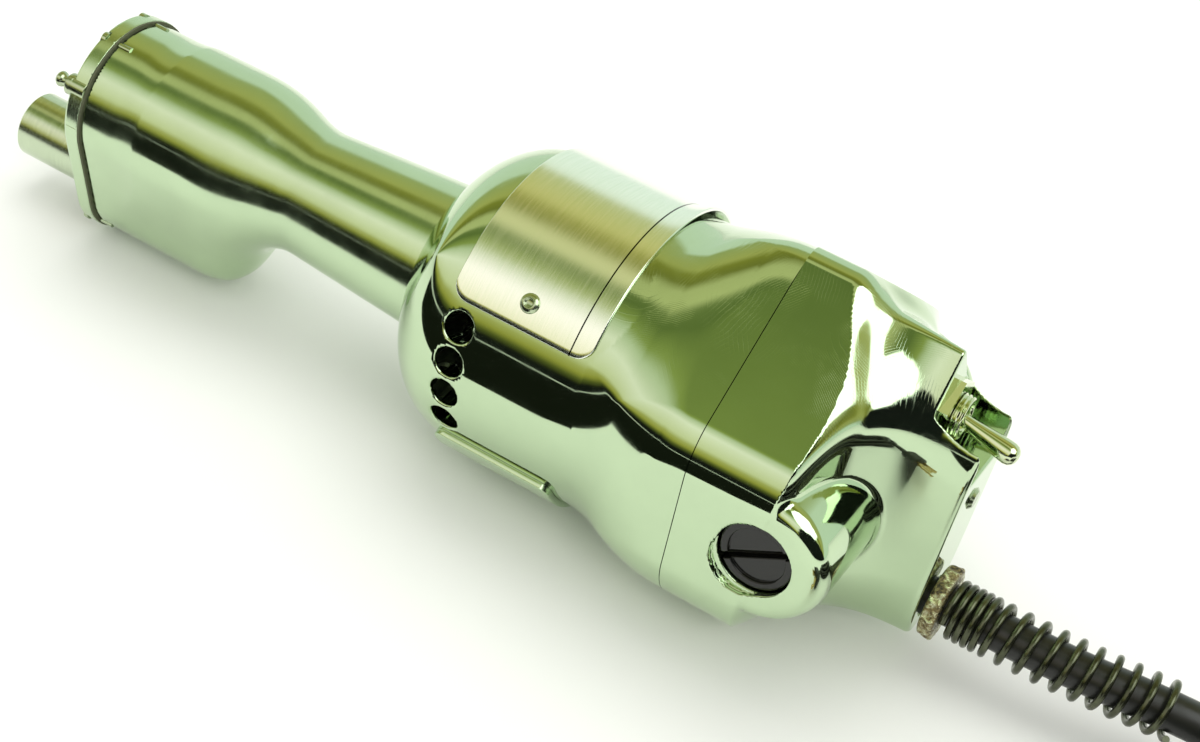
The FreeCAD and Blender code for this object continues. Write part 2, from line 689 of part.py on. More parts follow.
def cover_screw_spot(index):
    """Four cover screws, two in the upper round and two beside the arbor."""
    wall = S.head_wall / 2
    if index < 2:
        reach, angle = S.head_radius - wall, 70
        return reach * math.cos(math.radians(angle)) * (1 - 2 * index), \
            reach * math.sin(math.radians(angle))
    reach, angle = S.lobe_radius - wall, -42
    return reach * math.cos(math.radians(angle)) * (5 - 2 * index), \
        -S.arbor_drop + reach * math.sin(math.radians(angle))


def cover_screw_hole(name, index, start, long):
    side, up = cover_screw_spot(index)
    return cylinder(name, 0.9 + S.fit_gap, length(long), start, side, S.axis_height + up)


def head_cover():
    start = S.head_end_x + S.gasket_thick
    plate = hull("cover_form", S.head_radius, S.lobe_radius, start, S.cover_thick)
    tools = [cylinder("cover_bush_hole", bush_bore() + S.bush_wall + S.fit_gap,
                      S.cover_thick + 2, start - 1, 0, S.axis_height - S.arbor_drop)]
    for index in range(4):
        tools.append(cover_screw_hole(f"cover_screw_hole_{index}", index, start - 1, 8))
        side, up = cover_screw_spot(index)
        tools.append(cylinder(f"cover_screw_sink_{index}", 1.7 + S.fit_gap, length(2),
                              start + S.cover_thick - 1.3, side, S.axis_height + up))
    tools.append(cylinder("nipple_hole", 1.2 + S.fit_gap, S.cover_thick + 2, start - 1,
                          S.nipple_side, S.axis_height + S.nipple_up))
    return cut("head_cover", plate, *tools)


def cover_gasket():
    outer = hull("gasket_form", S.head_radius - 0.15, S.lobe_radius - 0.15, S.head_end_x,
                 S.gasket_thick)
    inner = hull("gasket_window", S.head_radius - S.head_wall, S.lobe_radius - S.head_wall,
                 S.head_end_x - 1, S.gasket_thick + 2)
    holes = [cover_screw_hole(f"gasket_screw_hole_{index}", index, S.head_end_x - 1, 3)
             for index in range(4)]
    return cut("cover_gasket", outer, inner, *holes)


def cover_screws():
    face = S.head_end_x + S.gasket_thick + S.cover_thick
    screws = []
    for index in range(4):
        side, up = cover_screw_spot(index)
        screw = lathe(f"cover_screw_{index}", [
            (face - 8, 0), (face - 0.1, 0), (face - 0.1, 1.7), (face - 1.3, 1.7), (face - 1.3, 0.9),
            (face - 8, 0.9),
        ], S.axis_height + up, side)
        screws.append(screw)
    return group("cover_screws", *screws)


def grease_nipple():
    face = S.head_end_x + S.gasket_thick + S.cover_thick
    return lathe("grease_nipple", [
        (face - S.cover_thick, 0), (face + 5.2, 0), (face + 5.2, 1.0),
        (face + 3.4, 2.5), (face + 2.0, 1.9), (face + 1.4, 1.9), (face + 1.4, 2.7), (face, 2.7),
        (face, 1.2), (face - S.cover_thick, 1.2),
    ], S.axis_height + S.nipple_up, S.nipple_side)


# Rotor: everything that spins with the armature

def bearing(label, x, outer, inner, width, z):
    """A sealed bearing as its two rings, the inner one to spin with the shaft."""
    gap = S.run_gap
    rim = tube(label + "_outer", outer, (outer + inner) / 2 + gap / 2, width, x, 0, z)
    core = tube(label + "_inner", (outer + inner) / 2 - gap / 2, inner + S.fit_gap, width, x, 0, z)
    return rim, core


def armature_shaft():
    return lathe("armature_shaft", [
        (-S.rear_bearing_x - 1.5, 0), (S.nose_face_x + 3, 0), (S.nose_face_x + 3, S.shaft_radius),
        (-S.rear_bearing_x - 1.5, S.shaft_radius),
    ])


def armature_core():
    body = new_body("armature_core")
    section = new_sketch(body, "YZ_Plane", S.core_x)
    for name, radius in (("rim", S.armature_radius), ("bore", S.shaft_radius + S.fit_gap)):
        circle = section.addGeometry(Part.Circle(Vector(), Vector(0, 0, 1), radius.value), False)
        section.addConstraint(Sketcher.Constraint("Coincident", circle, 3, -1, 1))
        index = section.addConstraint(Sketcher.Constraint("Radius", circle, radius.value))
        section.renameConstraint(index, name)
        section.setExpression("Constraints." + name, radius.text)
    pad(body, section, S.core_length)
    slot_sketch = outline(new_sketch(body, "YZ_Plane", S.core_x), [
        (-1.1, S.armature_radius * 0.62), (1.1, S.armature_radius * 0.62),
        (1.1, S.armature_radius + 1), (-1.1, S.armature_radius + 1),
    ])
    slot = body.newObject("PartDesign::Pocket", "armature_slot")
    slot.Profile = slot_sketch
    bind(slot, "Length", S.core_length)
    slot.Reversed = True
    doc.recompute()
    ring = body.newObject("PartDesign::PolarPattern", "armature_slots")
    ring.Originals = [slot]
    ring.Axis = (section, ["N_Axis"])
    ring.Angle = 360
    ring.Occurrences = 12
    body.Tip = ring
    return body


def armature_winding():
    hub = S.shaft_radius + S.fit_gap
    front = S.core_x + S.core_length
    pieces = []
    for name, start in (("rear", S.core_x - S.winding_overhang), ("front", front)):
        end = start + S.winding_overhang
        pieces.append(lathe(f"winding_{name}", [
            (start, hub), (end, hub), (end, S.armature_radius - 1),
            (start + 2, S.armature_radius - 2), (start, S.armature_radius - 4),
        ]))
    return group("armature_winding", *pieces)


def commutator():
    hub = S.shaft_radius + S.fit_gap
    front = -S.brush_x + S.commutator_length / 2
    return lathe("commutator", [
        (front - S.commutator_length, hub), (front + 6, hub), (front + 6, S.commutator_radius),
        (front + 2, S.commutator_radius + 1.5), (front, S.commutator_radius + 1.5),
        (front, S.commutator_radius), (front - S.commutator_length, S.commutator_radius),
    ])


def cooling_fan():
    hub = tube("fan_hub", S.shaft_radius + 3, S.shaft_radius + S.fit_gap, S.fan_width, S.fan_x,
               0, S.axis_height)
    back = tube("fan_back", S.fan_radius, S.shaft_radius + S.fit_gap, length(1.5), S.fan_x, 0,
                S.axis_height)
    blades = []
    for index in range(10):
        blade = box(f"fan_blade_{index}", S.fan_x + 1, 0, S.axis_height, S.fan_width - 1,
                    S.fan_radius * 0.58, length(1.4))
        turn = Rotation(Vector(1, 0, 0), 36.0 * index)
        lean = Rotation(Vector(1, 0, 0), 14)
        reach = turn.multVec(Vector(0, S.fan_radius.value * 0.4, 0))
        bind(blade, "Placement.Base.y", S.fan_radius * (reach.y / S.fan_radius.value))
        bind(blade, "Placement.Base.z", S.axis_height + S.fan_radius * (reach.z / S.fan_radius.value))
        blade.Placement = Placement(blade.Placement.Base, turn.multiply(lean))
        blades.append(blade)
    return fuse("cooling_fan", hub, back, *blades)


def drive_line():
    """The drive shaft, the sleeve that joins it to the armature, and the eccentric."""
    joint = S.nose_face_x + 4
    sleeve = tube("shaft_coupling", S.shaft_radius + 2.6, S.shaft_radius + S.fit_gap, length(14),
                  joint - 7, 0, S.axis_height)
    end = S.eccentric_x + S.eccentric_bearing_width
    shaft = lathe("drive_shaft", [
        (joint, 0), (end + 2, 0), (end + 2, S.shaft_radius), (joint, S.shaft_radius),
    ])
    hub = cylinder("eccentric_round", S.eccentric_radius, S.eccentric_bearing_width + 2,
                   S.eccentric_x - 1, 0, S.axis_height - S.orbit)
    hole = cylinder("eccentric_hole", S.shaft_radius + S.fit_gap, S.eccentric_bearing_width + 4,
                    S.eccentric_x - 2, 0, S.axis_height)
    eccentric = cut("eccentric_hub", hub, hole)
    return sleeve, shaft, eccentric


# Spindle: what swings with the blade

def arbor_spindle():
    spindle = lathe("spindle_form", [
        (S.spindle_bearing_x + 0.3, 0), (S.arbor_end_x - S.blade_screw_depth, 0),
        (S.arbor_end_x - S.blade_screw_depth, S.blade_screw_radius),
        (S.arbor_end_x, S.blade_screw_radius),
        (S.arbor_end_x, S.arbor_radius - 0.6), (S.arbor_end_x - 0.6, S.arbor_radius),
        (bush_end() + 0.2, S.arbor_radius), (bush_end() + 0.2, S.front_journal_radius),
        (S.arbor_step_x, S.front_journal_radius), (S.arbor_step_x, S.journal_radius),
        (S.spindle_bearing_x + 0.3, S.journal_radius),
    ], S.axis_height - S.arbor_drop)
    return cut("arbor_spindle", spindle, fork_pin("spindle_pin_hole", S.fork_pin_radius + S.fit_gap))


def fork_pin(name, radius):
    hub = S.fork_hub_radius
    return cylinder(name, radius, hub * 2 - 0.6, fork_x() + S.fork_thick + 1.8, 0,
                    S.axis_height - S.arbor_drop - hub + 0.3, (Vector(0, 0, 1), 0))


def fork_x():
    """The fork straddles the eccentric's bearing, centred on it."""
    return S.eccentric_x + S.eccentric_bearing_width / 2 - S.fork_thick / 2


def swing_fork():
    inner = S.eccentric_bearing_outer + S.orbit + S.swing_room
    outer = inner + S.fork_arm
    crotch = S.eccentric_bearing_outer + S.orbit + 0.5
    arms = prism("fork_arms", [
        (outer, 3), (inner, 3), (inner, -5), (inner * 0.55, -crotch), (-inner * 0.55, -crotch),
        (-inner, -5), (-inner, 3), (-outer, 3), (-outer + 0.6, -9),
        (-S.fork_hub_radius, -S.arbor_drop), (S.fork_hub_radius, -S.arbor_drop), (outer - 0.6, -9),
    ], fork_x(), S.fork_thick)
    hub = cylinder("fork_hub", S.fork_hub_radius, S.fork_thick + 4, fork_x(), 0,
                   S.axis_height - S.arbor_drop)
    bearing_room = cylinder("fork_room", S.eccentric_bearing_outer + S.orbit + 0.4,
                            S.fork_thick + 8, fork_x() - 2, 0, S.axis_height)
    bore = cylinder("fork_bore", S.journal_radius + S.fit_gap, S.fork_thick + 8, fork_x() - 2, 0,
                    S.axis_height - S.arbor_drop)
    return cut("swing_fork", fuse("fork_form", arms, hub), bearing_room, bore,
               fork_pin("fork_pin_hole", S.fork_pin_radius + S.fit_gap))


def bush_bore():
    return S.front_journal_radius + S.bush_gap


def bush_end():
    return S.head_end_x + S.gasket_thick + S.cover_thick + S.bush_proud


def arbor_bush():
    return tube("arbor_bush", bush_bore() + S.bush_wall, bush_bore(), bush_end() - S.bush_x,
                S.bush_x, 0, S.axis_height - S.arbor_drop)


# Stator

def sector(name, radius, long, x, first, span):
    """A wedge of a cylinder along X; angles go from +Y towards +Z."""
    piece = doc.addObject("Part::Cylinder", name)
    bind(piece, "Radius", radius)
    bind(piece, "Height", long)
    bind(piece, "Angle", span)
    # the wedge opens from its local X, which the turn lays along +Y
    lay = Rotation(Vector(0, 1, 0), 90).multiply(Rotation(Vector(0, 0, 1), 90))
    spin = Rotation(Vector(1, 0, 0), first)
    place(piece, x, 0, S.axis_height)
    piece.Placement = Placement(piece.Placement.Base, spin.multiply(lay))
    return piece


def stator_core():
    outer = S.barrel_radius - S.casing_wall - S.fit_gap
    inner = S.armature_radius + S.air_gap
    ring = tube("stator_ring", outer, inner, S.core_length, S.core_x, 0, S.axis_height)
    windows = [sector(f"stator_window_{side}", outer - S.yoke_ring, S.core_length + 2, S.core_x - 1,
                      side - 30, length(60)) for side in (0, 180)]
    return cut("stator_core", ring, *windows)


def field_coils():
    outer = S.barrel_radius - S.casing_wall - S.fit_gap - S.yoke_ring - 0.4
    inner = S.armature_radius + S.air_gap + 0.6
    start = S.core_x - S.coil_overhang
    long = S.core_length + S.coil_overhang * 2
    coils = []
    for side in (0, 180):
        ring = sector(f"coil_ring_{side}", outer, long, start, side + 3, length(174))
        hole = cylinder(f"coil_hole_{side}", inner, long + 2, start - 1, 0, S.axis_height)
        pole = sector(f"coil_pole_{side}", outer + 1, S.core_length + 0.8, S.core_x - 0.4,
                      side + 28.5, length(123))
        coils.append(cut(f"field_coil_{side}", ring, hole, pole))
    return group("field_coils", *coils)


# Brush gear, one set on each side

def brush_set():
    """Holders, carbon brushes, springs and caps, each a node with its two solids."""
    touch = S.commutator_radius + S.run_gap
    floor = S.side_half_width - S.cap_recess - S.cap_thick
    # the brush takes two thirds of the room behind the commutator, its spring the rest
    brush_end = touch + (floor - touch) * 2 / 3
    half = S.brush_side / 2
    holders, brushes, springs, caps = [], [], [], []
    for side in (-1, 1):
        def along_y(name, radius, start, end):
            low = start if side > 0 else -end
            return cylinder(f"{name}_{side}", radius, end - start, -S.brush_x, low,
                            S.axis_height, TO_Y)

        def square(name, half_side, start, end):
            low = start if side > 0 else -end
            return box(f"{name}_{side}", -S.brush_x - half_side, low, S.axis_height - half_side,
                       half_side * 2, end - start, half_side * 2)
        start = S.commutator_radius + 3
        holders.append(cut(f"brush_holder_{side}",
                           along_y("holder_tube", S.holder_radius, start, floor - S.fit_gap),
                           square("holder_slot", half + S.fit_gap, start - 1, floor + 1)))
        face = cylinder(f"brush_face_{side}", touch, S.brush_side + 2, -S.brush_x - half - 1, 0,
                        S.axis_height)
        brushes.append(cut(f"carbon_brush_{side}",
                           square("brush_block", half, touch - 2, brush_end), face))
        outside = along_y("spring_outside", half - 0.2, brush_end + S.fit_gap,
                          floor - S.fit_gap)
        inside = along_y("spring_inside", half - 1.0, brush_end - 1, floor + 1)
        springs.append(cut(f"brush_spring_{side}", outside, inside))
        disc = along_y("cap_disc", S.cap_radius, floor, floor + S.cap_thick)
        groove_y = floor + S.cap_thick - 1.4 if side > 0 else -floor - S.cap_thick - 1
        groove = box(f"cap_slot_{side}", -S.brush_x - S.cap_radius * 0.7, groove_y,
                     S.axis_height - 0.9, S.cap_radius * 1.4, length(2.4), length(1.8))
        caps.append(cut(f"brush_cap_{side}", disc, groove))
    return (group("brush_holders", *holders), group("carbon_brushes", *brushes),
            group("brush_springs", *springs), group("brush_caps", *caps))


# Switch

def switch_parts():
    up = S.axis_height + S.switch_height
    front = -S.recess_x + S.wall_rear
    body = box("switch_body", front, -S.switch_half, up - S.switch_half, S.switch_length,
               S.switch_half * 2, S.switch_half * 2)
    mouth = front - S.bushing_length
    neck = tube("switch_neck", S.bushing_radius, S.lever_root_radius + 1.8, S.bushing_length,
                mouth, 0, up)
    nut = doc.addObject("Part::Prism", "nut_form")
    nut.Polygon = 6
    bind(nut, "Circumradius", S.nut_flats / math.sqrt(3))
    bind(nut, "Height", S.nut_thick)
    place(nut, -S.recess_x - S.nut_thick, 0, up, *TO_X)
    hole = cylinder("nut_hole", S.bushing_radius + S.fit_gap, S.nut_thick + 2,
                    -S.recess_x - S.nut_thick - 1, 0, up)
    return body, neck, cut("switch_nut", nut, hole)


def lever_pivot():
    """Where the lever turns, just inside the mouth of the switch's neck."""
    return -S.recess_x + S.wall_rear - S.bushing_length + 2.6


def toggle_lever():
    """A tapered stem with a round tip, on the cross pin that it turns on."""
    pivot_z = S.axis_height + S.switch_height
    reach = S.lever_length - S.lever_tip_radius
    stem = doc.addObject("Part::Cone", "lever_stem")
    bind(stem, "Radius1", S.lever_root_radius)
    bind(stem, "Radius2", S.lever_neck_radius)
    bind(stem, "Height", reach)
    place(stem, lever_pivot(), 0, pivot_z, Vector(0, 1, 0), -90 - S.lever_drop)
    tip = doc.addObject("Part::Sphere", "lever_tip")
    bind(tip, "Radius", S.lever_tip_radius)
    place(tip, lever_pivot() - reach * cosine(S.lever_drop), 0,
          pivot_z - reach * sine(S.lever_drop))
    pin = cylinder("lever_pin", S.lever_root_radius + 0.1, S.lever_pin_length, lever_pivot(),
                   -S.lever_pin_length / 2, pivot_z, TO_Y)
    return fuse("toggle_lever", stem, tip, pin)


# Plates and small pieces on the barrel

def wrapped_plate(label, thick, x, long, middle, half_angle, corner, seat):
    """A plate bent round the barrel, with rounded corners."""
    first = middle - half_angle.value
    outside = sector(label + "_outside", S.barrel_radius + seat + thick, long, x, first,
                     half_angle * 2)
    inside = cylinder(label + "_inside", S.barrel_radius + seat, long + 2, x - 1, 0, S.axis_height)
    sheet_form = cut(label + "_sheet", outside, inside)
    doc.recompute()
    rounding = doc.addObject("Part::Fillet", label + "_rounded")
    rounding.Base = sheet_form
    limit = thick.value * 1.05
    rounding.Edges = [(number, corner.value, corner.value)
                      for number, edge in enumerate(sheet_form.Shape.Edges, start=1)
                      if edge.Length < limit]
    return rounding


def nameplate():
    plate = wrapped_plate("nameplate", S.plate_thick, S.plate_x, S.plate_length, 90, S.plate_angle,
                          S.plate_corner, 0.06)
    holes = [rivet_tool(f"plate_hole_{side}", side, 1.1 + S.fit_gap, 2.4) for side in (-1, 1)]
    return cut("nameplate", plate, *holes)


def nameplate_rivets():
    rivets = []
    for side in (-1, 1):
        stem = rivet_tool(f"rivet_stem_{side}", side, 1.1, 2.3)
        bind(stem, "Height", 2.3 + S.plate_thick + 0.1)
        angle = 90 + side * S.rivet_angle.value
        head = radial(f"rivet_head_{side}", angle, S.rivet_x, length(2.3),
                      S.barrel_radius + S.plate_thick + 0.1, length(0.9))
        rivets.append(fuse(f"rivet_{side}", stem, head))
    return group("nameplate_rivets", *rivets)


def belly_plate():
    plate = wrapped_plate("belly_plate", S.belly_plate_thick, S.belly_plate_x, S.belly_plate_length,
                          -90, S.belly_plate_angle, S.plate_corner, 0.06)
    holes = [belly_screw_tool(f"belly_hole_{side}", side, S.cover_screw_radius + S.fit_gap)
             for side in (-1, 1)]
    return cut("belly_plate", plate, *holes)


def belly_plate_screws():
    screws = []
    for side in (-1, 1):
        screw = belly_screw_tool(f"belly_screw_{side}", side, S.cover_screw_radius)
        bind(screw, "Height", 2.5 + S.belly_plate_thick)
        screws.append(screw)
    return group("belly_plate_screws", *screws)


def rear_screw():
    face = -S.tail_length
    return lathe("rear_screw", [
        (face - 1.1, 0), (face - 1.1, 1.9), (face - 0.4, 2.6), (face, 2.6), (face, S.cover_screw_radius),
        (face + 6, S.cover_screw_radius), (face + 6, 0),
    ], S.axis_height + rear_screw_up())


# Cord: ferrule, spring, free stretch, coil and plug

def bent_path(points, radii):
    """Straight runs joined by tangent arcs, as one wire."""
    edges = []
    last = points[0]
    for before, corner, after, radius in zip(points, points[1:], points[2:], radii):
        way_in = (before - corner).normalize()
        way_out = (after - corner).normalize()
        half_turn = (math.pi - way_in.getAngle(way_out)) / 2
        back = radius * math.tan(half_turn)
        start, stop = corner + way_in * back, corner + way_out * back
        centre = corner + (way_in + way_out).normalize() * (radius / math.cos(half_turn))
        middle = centre + (corner - centre).normalize() * radius
        edges.append(Part.LineSegment(last, start).toShape())
        edges.append(Part.Arc(start, middle, stop).toShape())
        last = stop
    edges.append(Part.LineSegment(last, points[-1]).toShape())
    return Part.Wire(edges)


def corner_radii(points):
    """Each arc is as large as its two runs allow."""
    radii = []
    for before, corner, after in zip(points, points[1:], points[2:]):
        turn = math.pi - (before - corner).getAngle(after - corner)
        run = min((before - corner).Length, (after - corner).Length)
        radii.append(0.45 * run / math.tan(turn / 2))
    return radii


def swept(label, points, radii, outer, inner=0.0):
    path = bent_path(points, radii)
    way = (points[1] - points[0]).normalize()

    def sweep(radius):
        ring = Part.Wire(Part.makeCircle(radius, points[0], way))
        return path.makePipeShell([ring], True, False)
    solid = sweep(outer)
    if inner:
        solid = solid.cut(sweep(inner))
    piece = doc.addObject("Part::Feature", label)
    piece.Shape = solid
    area = math.pi * (outer ** 2 - inner ** 2)
    print(f"{label}: length {path.Length:.1f}, volume against section times length "
          f"{solid.Volume / (area * path.Length):.4f}, radii "
          + ", ".join(f"{radius:.0f}" for radius in radii))
    return piece


def cord_points():
    """The route that isn't coiled, from inside the housing to the coil."""
    exit_z = S.axis_height.value - S.cord_drop.value
    return [Vector(-44.0, 0.0, exit_z), Vector(-74.0, 0.0, exit_z),
            Vector(-103.0, -6.0, exit_z - 1.9), Vector(-119.2, -10.5, 9.4)]


def cord_parts():
    down = S.axis_height - S.cord_drop
    face = -S.tail_length
    ferrule = lathe("cord_ferrule", [
        (face, S.cord_radius + 0.1), (face - S.ferrule_length, S.cord_radius + 0.1),
        (face - S.ferrule_length, S.spring_radius), (face - S.ferrule_length + 0.8, S.ferrule_radius),
        (face, S.ferrule_radius),
    ], down)
    points = cord_points()
    radii = corner_radii(points)
    cord = swept("power_cord", points, radii, S.cord_radius.value)
    start = Vector(-S.tail_length.value - S.ferrule_length.value - 0.05, 0, points[0].z)
    stop = points[1] + (points[2] - points[1]) * 0.93
    spring = swept("strain_relief_spring", [start, points[1], stop], radii[:1],
                   S.spring_radius.value, S.spring_radius.value - S.spring_wire.value)
    band = S.cord_radius * 2 * S.coil_turns_wide
    inner = S.coil_mid_radius - band / 2
    ring = cylinder("coil_outside", inner + band, band, S.coil_x, S.coil_y, 0, (Vector(0, 0, 1), 0))
    hole = cylinder("coil_inside", inner, band + 2, S.coil_x, S.coil_y, -1, (Vector(0, 0, 1), 0))
    return ferrule, cord, spring, cut("cord_coil", ring, hole)


def plug_parts():
    """A straight three-pin plug that the coil's last turn runs into, its blades to +X."""
    reach = S.coil_mid_radius + S.cord_radius * S.coil_turns_wide
    neck = S.cord_radius + 0.6
    start_x = S.coil_x + root(reach * reach - (S.plug_side - neck) * (S.plug_side - neck)) + 0.4
    start_y = S.coil_y + S.plug_side
    body = lathe("plug_body", [
        (0, 0), (S.plug_length, 0), (S.plug_length, S.plug_radius),
        (S.plug_length * 0.7, S.plug_radius), (S.plug_length * 0.64, S.plug_radius - 2),
        (S.plug_length * 0.55, neck + 1), (0, neck),
    ], S.plug_radius, start_y)
    bind(body, "Placement.Base.x", start_x)
    face = start_x + S.plug_length
    pins = []
    for side in (-1, 1):
        pins.append(box(f"plug_blade_{side}", face, start_y + side * 6.35 - 0.75,
                        S.plug_radius + 1.2, length(17), length(1.5), length(6.3)))
    pins.append(cylinder("plug_earth_pin", 2.4, length(20), face, start_y, S.plug_radius - 7.2))
    return body, group("plug_blades", *pins)


# Every node, in the order in which the saw comes apart

nodes = [motor_housing(), rear_housing(), nose_housing(), head_cover(), cover_gasket(),
         cover_screws(), grease_nipple(), nameplate(), nameplate_rivets(), belly_plate(),
         belly_plate_screws(), rear_screw(), stator_core(), field_coils(), arbor_bush()]
nodes += bearing("rear_bearing", -S.rear_bearing_x, S.bearing_outer, S.shaft_radius,
                 S.bearing_width, S.axis_height)
nodes += bearing("front_bearing", S.front_bearing_x, S.bearing_outer, S.shaft_radius,
                 S.bearing_width, S.axis_height)
nodes += bearing("drive_bearing", S.drive_bearing_x, S.bearing_outer, S.shaft_radius,
                 S.bearing_width, S.axis_height)
nodes += bearing("spindle_bearing", S.spindle_bearing_x, S.spindle_bearing_outer,
                 S.journal_radius, S.eccentric_bearing_width, S.axis_height - S.arbor_drop)
nodes += bearing("eccentric_bearing", S.eccentric_x, S.eccentric_bearing_outer,
                 S.eccentric_radius, S.eccentric_bearing_width, S.axis_height - S.orbit)
nodes += [armature_shaft(), armature_core(), armature_winding(), commutator(), cooling_fan()]
nodes += drive_line()
nodes += [arbor_spindle(), swing_fork(), fork_pin("fork_pin", S.fork_pin_radius)]
nodes += brush_set()
nodes += switch_parts()
nodes += [toggle_lever()]
nodes += cord_parts()
nodes += plug_parts()

doc.recompute()

faults = [thing.Label + " " + thing.getStatusString() for thing in doc.Objects
          if "Invalid" in thing.State or "Error" in thing.State]
faults += [node.Label for node in nodes if node.Shape.isNull() or not node.Shape.isValid()]
if faults:
    raise RuntimeError("failed pieces: " + ", ".join(faults))

total = 0
for node in nodes:
    node.Shape.exportStep(os.path.join("parts", node.Label + ".step"))
    mesh = node.Shape.tessellate(0.1)
    total += len(mesh[1])
    box_ = node.Shape.BoundBox
    print(f"{node.Label:24s} solids {len(node.Shape.Solids)} volume {node.Shape.Volume:9.1f} "
          f"triangles {len(mesh[1]):5d} x {box_.XMin:7.1f}..{box_.XMax:6.1f} "
          f"y {box_.YMin:6.1f}..{box_.YMax:6.1f} z {box_.ZMin:6.1f}..{box_.ZMax:6.1f}")
print(f"{len(nodes)} nodes, {total} triangles")
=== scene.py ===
import itertools
import math

import bpy
import numpy as np
from mathutils import Matrix, Vector


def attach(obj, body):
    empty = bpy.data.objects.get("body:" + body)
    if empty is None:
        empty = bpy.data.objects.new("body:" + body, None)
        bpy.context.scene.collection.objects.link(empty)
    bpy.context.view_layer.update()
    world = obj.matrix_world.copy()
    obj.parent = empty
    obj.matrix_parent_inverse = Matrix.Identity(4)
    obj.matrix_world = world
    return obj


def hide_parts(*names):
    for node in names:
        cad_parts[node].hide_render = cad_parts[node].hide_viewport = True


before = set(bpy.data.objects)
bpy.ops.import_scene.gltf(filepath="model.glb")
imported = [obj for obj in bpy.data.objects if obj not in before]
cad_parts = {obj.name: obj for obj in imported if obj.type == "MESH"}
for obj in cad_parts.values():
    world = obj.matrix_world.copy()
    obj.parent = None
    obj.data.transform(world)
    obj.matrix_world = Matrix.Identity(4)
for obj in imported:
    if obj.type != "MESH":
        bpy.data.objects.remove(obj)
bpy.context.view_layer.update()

# Sizes in millimetres, in the saw's own frame: +X along the motor axis, +Z up.
MM = 0.001
AXIS = 36.8            # motor axis over the table
ARBOR = 21.0           # arbor axis under the motor axis
BARREL = 35.2
RIDGE = 47.7           # roof ridge over the motor axis
SIDE = 39.9            # flat sides, from the middle plane
NOSE_X = 80.8          # where the barrel ends and the neck starts
HEAD = (19.8, 14.6)    # radii of the head's upper and lower round
COVER_X = (173.6, 177.6)
BRUSH_X = -18.3
SWITCH = (-38.3, 0.0, 62.0)
CORD_Z = 15.4          # height of the lead where it leaves the tail
CORD = 4.4             # radius of the lead
SEAM = 0.1             # half the hairline between the two castings
COIL = (-173.6, 26.4)  # middle of the put-away lead


# The camera, as it stood for the photograph

def photo_camera():
    data = bpy.data.cameras.new("camera")
    data.lens = 66.574
    data.sensor_width = 36
    data.clip_start = 0.01
    data.clip_end = 20
    camera = bpy.data.objects.new("camera", data)
    right = Vector((-0.842742, -0.510044, 0.172166))
    up = Vector((0.438850, -0.465718, 0.768451))
    back = Vector((-0.311764, 0.723161, 0.616313))
    turn = Matrix((right, up, back)).transposed().to_4x4()
    camera.matrix_world = Matrix.Translation(Vector((-113.62, 355.97, 331.95)) * MM) @ turn
    bpy.context.scene.collection.objects.link(camera)
    bpy.context.scene.camera = camera


photo_camera()


# Materials

def new_material(name):
    material = bpy.data.materials.new(name)
    material.use_nodes = True
    nodes = material.node_tree.nodes
    nodes.clear()
    out = nodes.new("ShaderNodeOutputMaterial")
    shader = nodes.new("ShaderNodeBsdfPrincipled")
    material.node_tree.links.new(shader.outputs[0], out.inputs[0])
    return material, shader


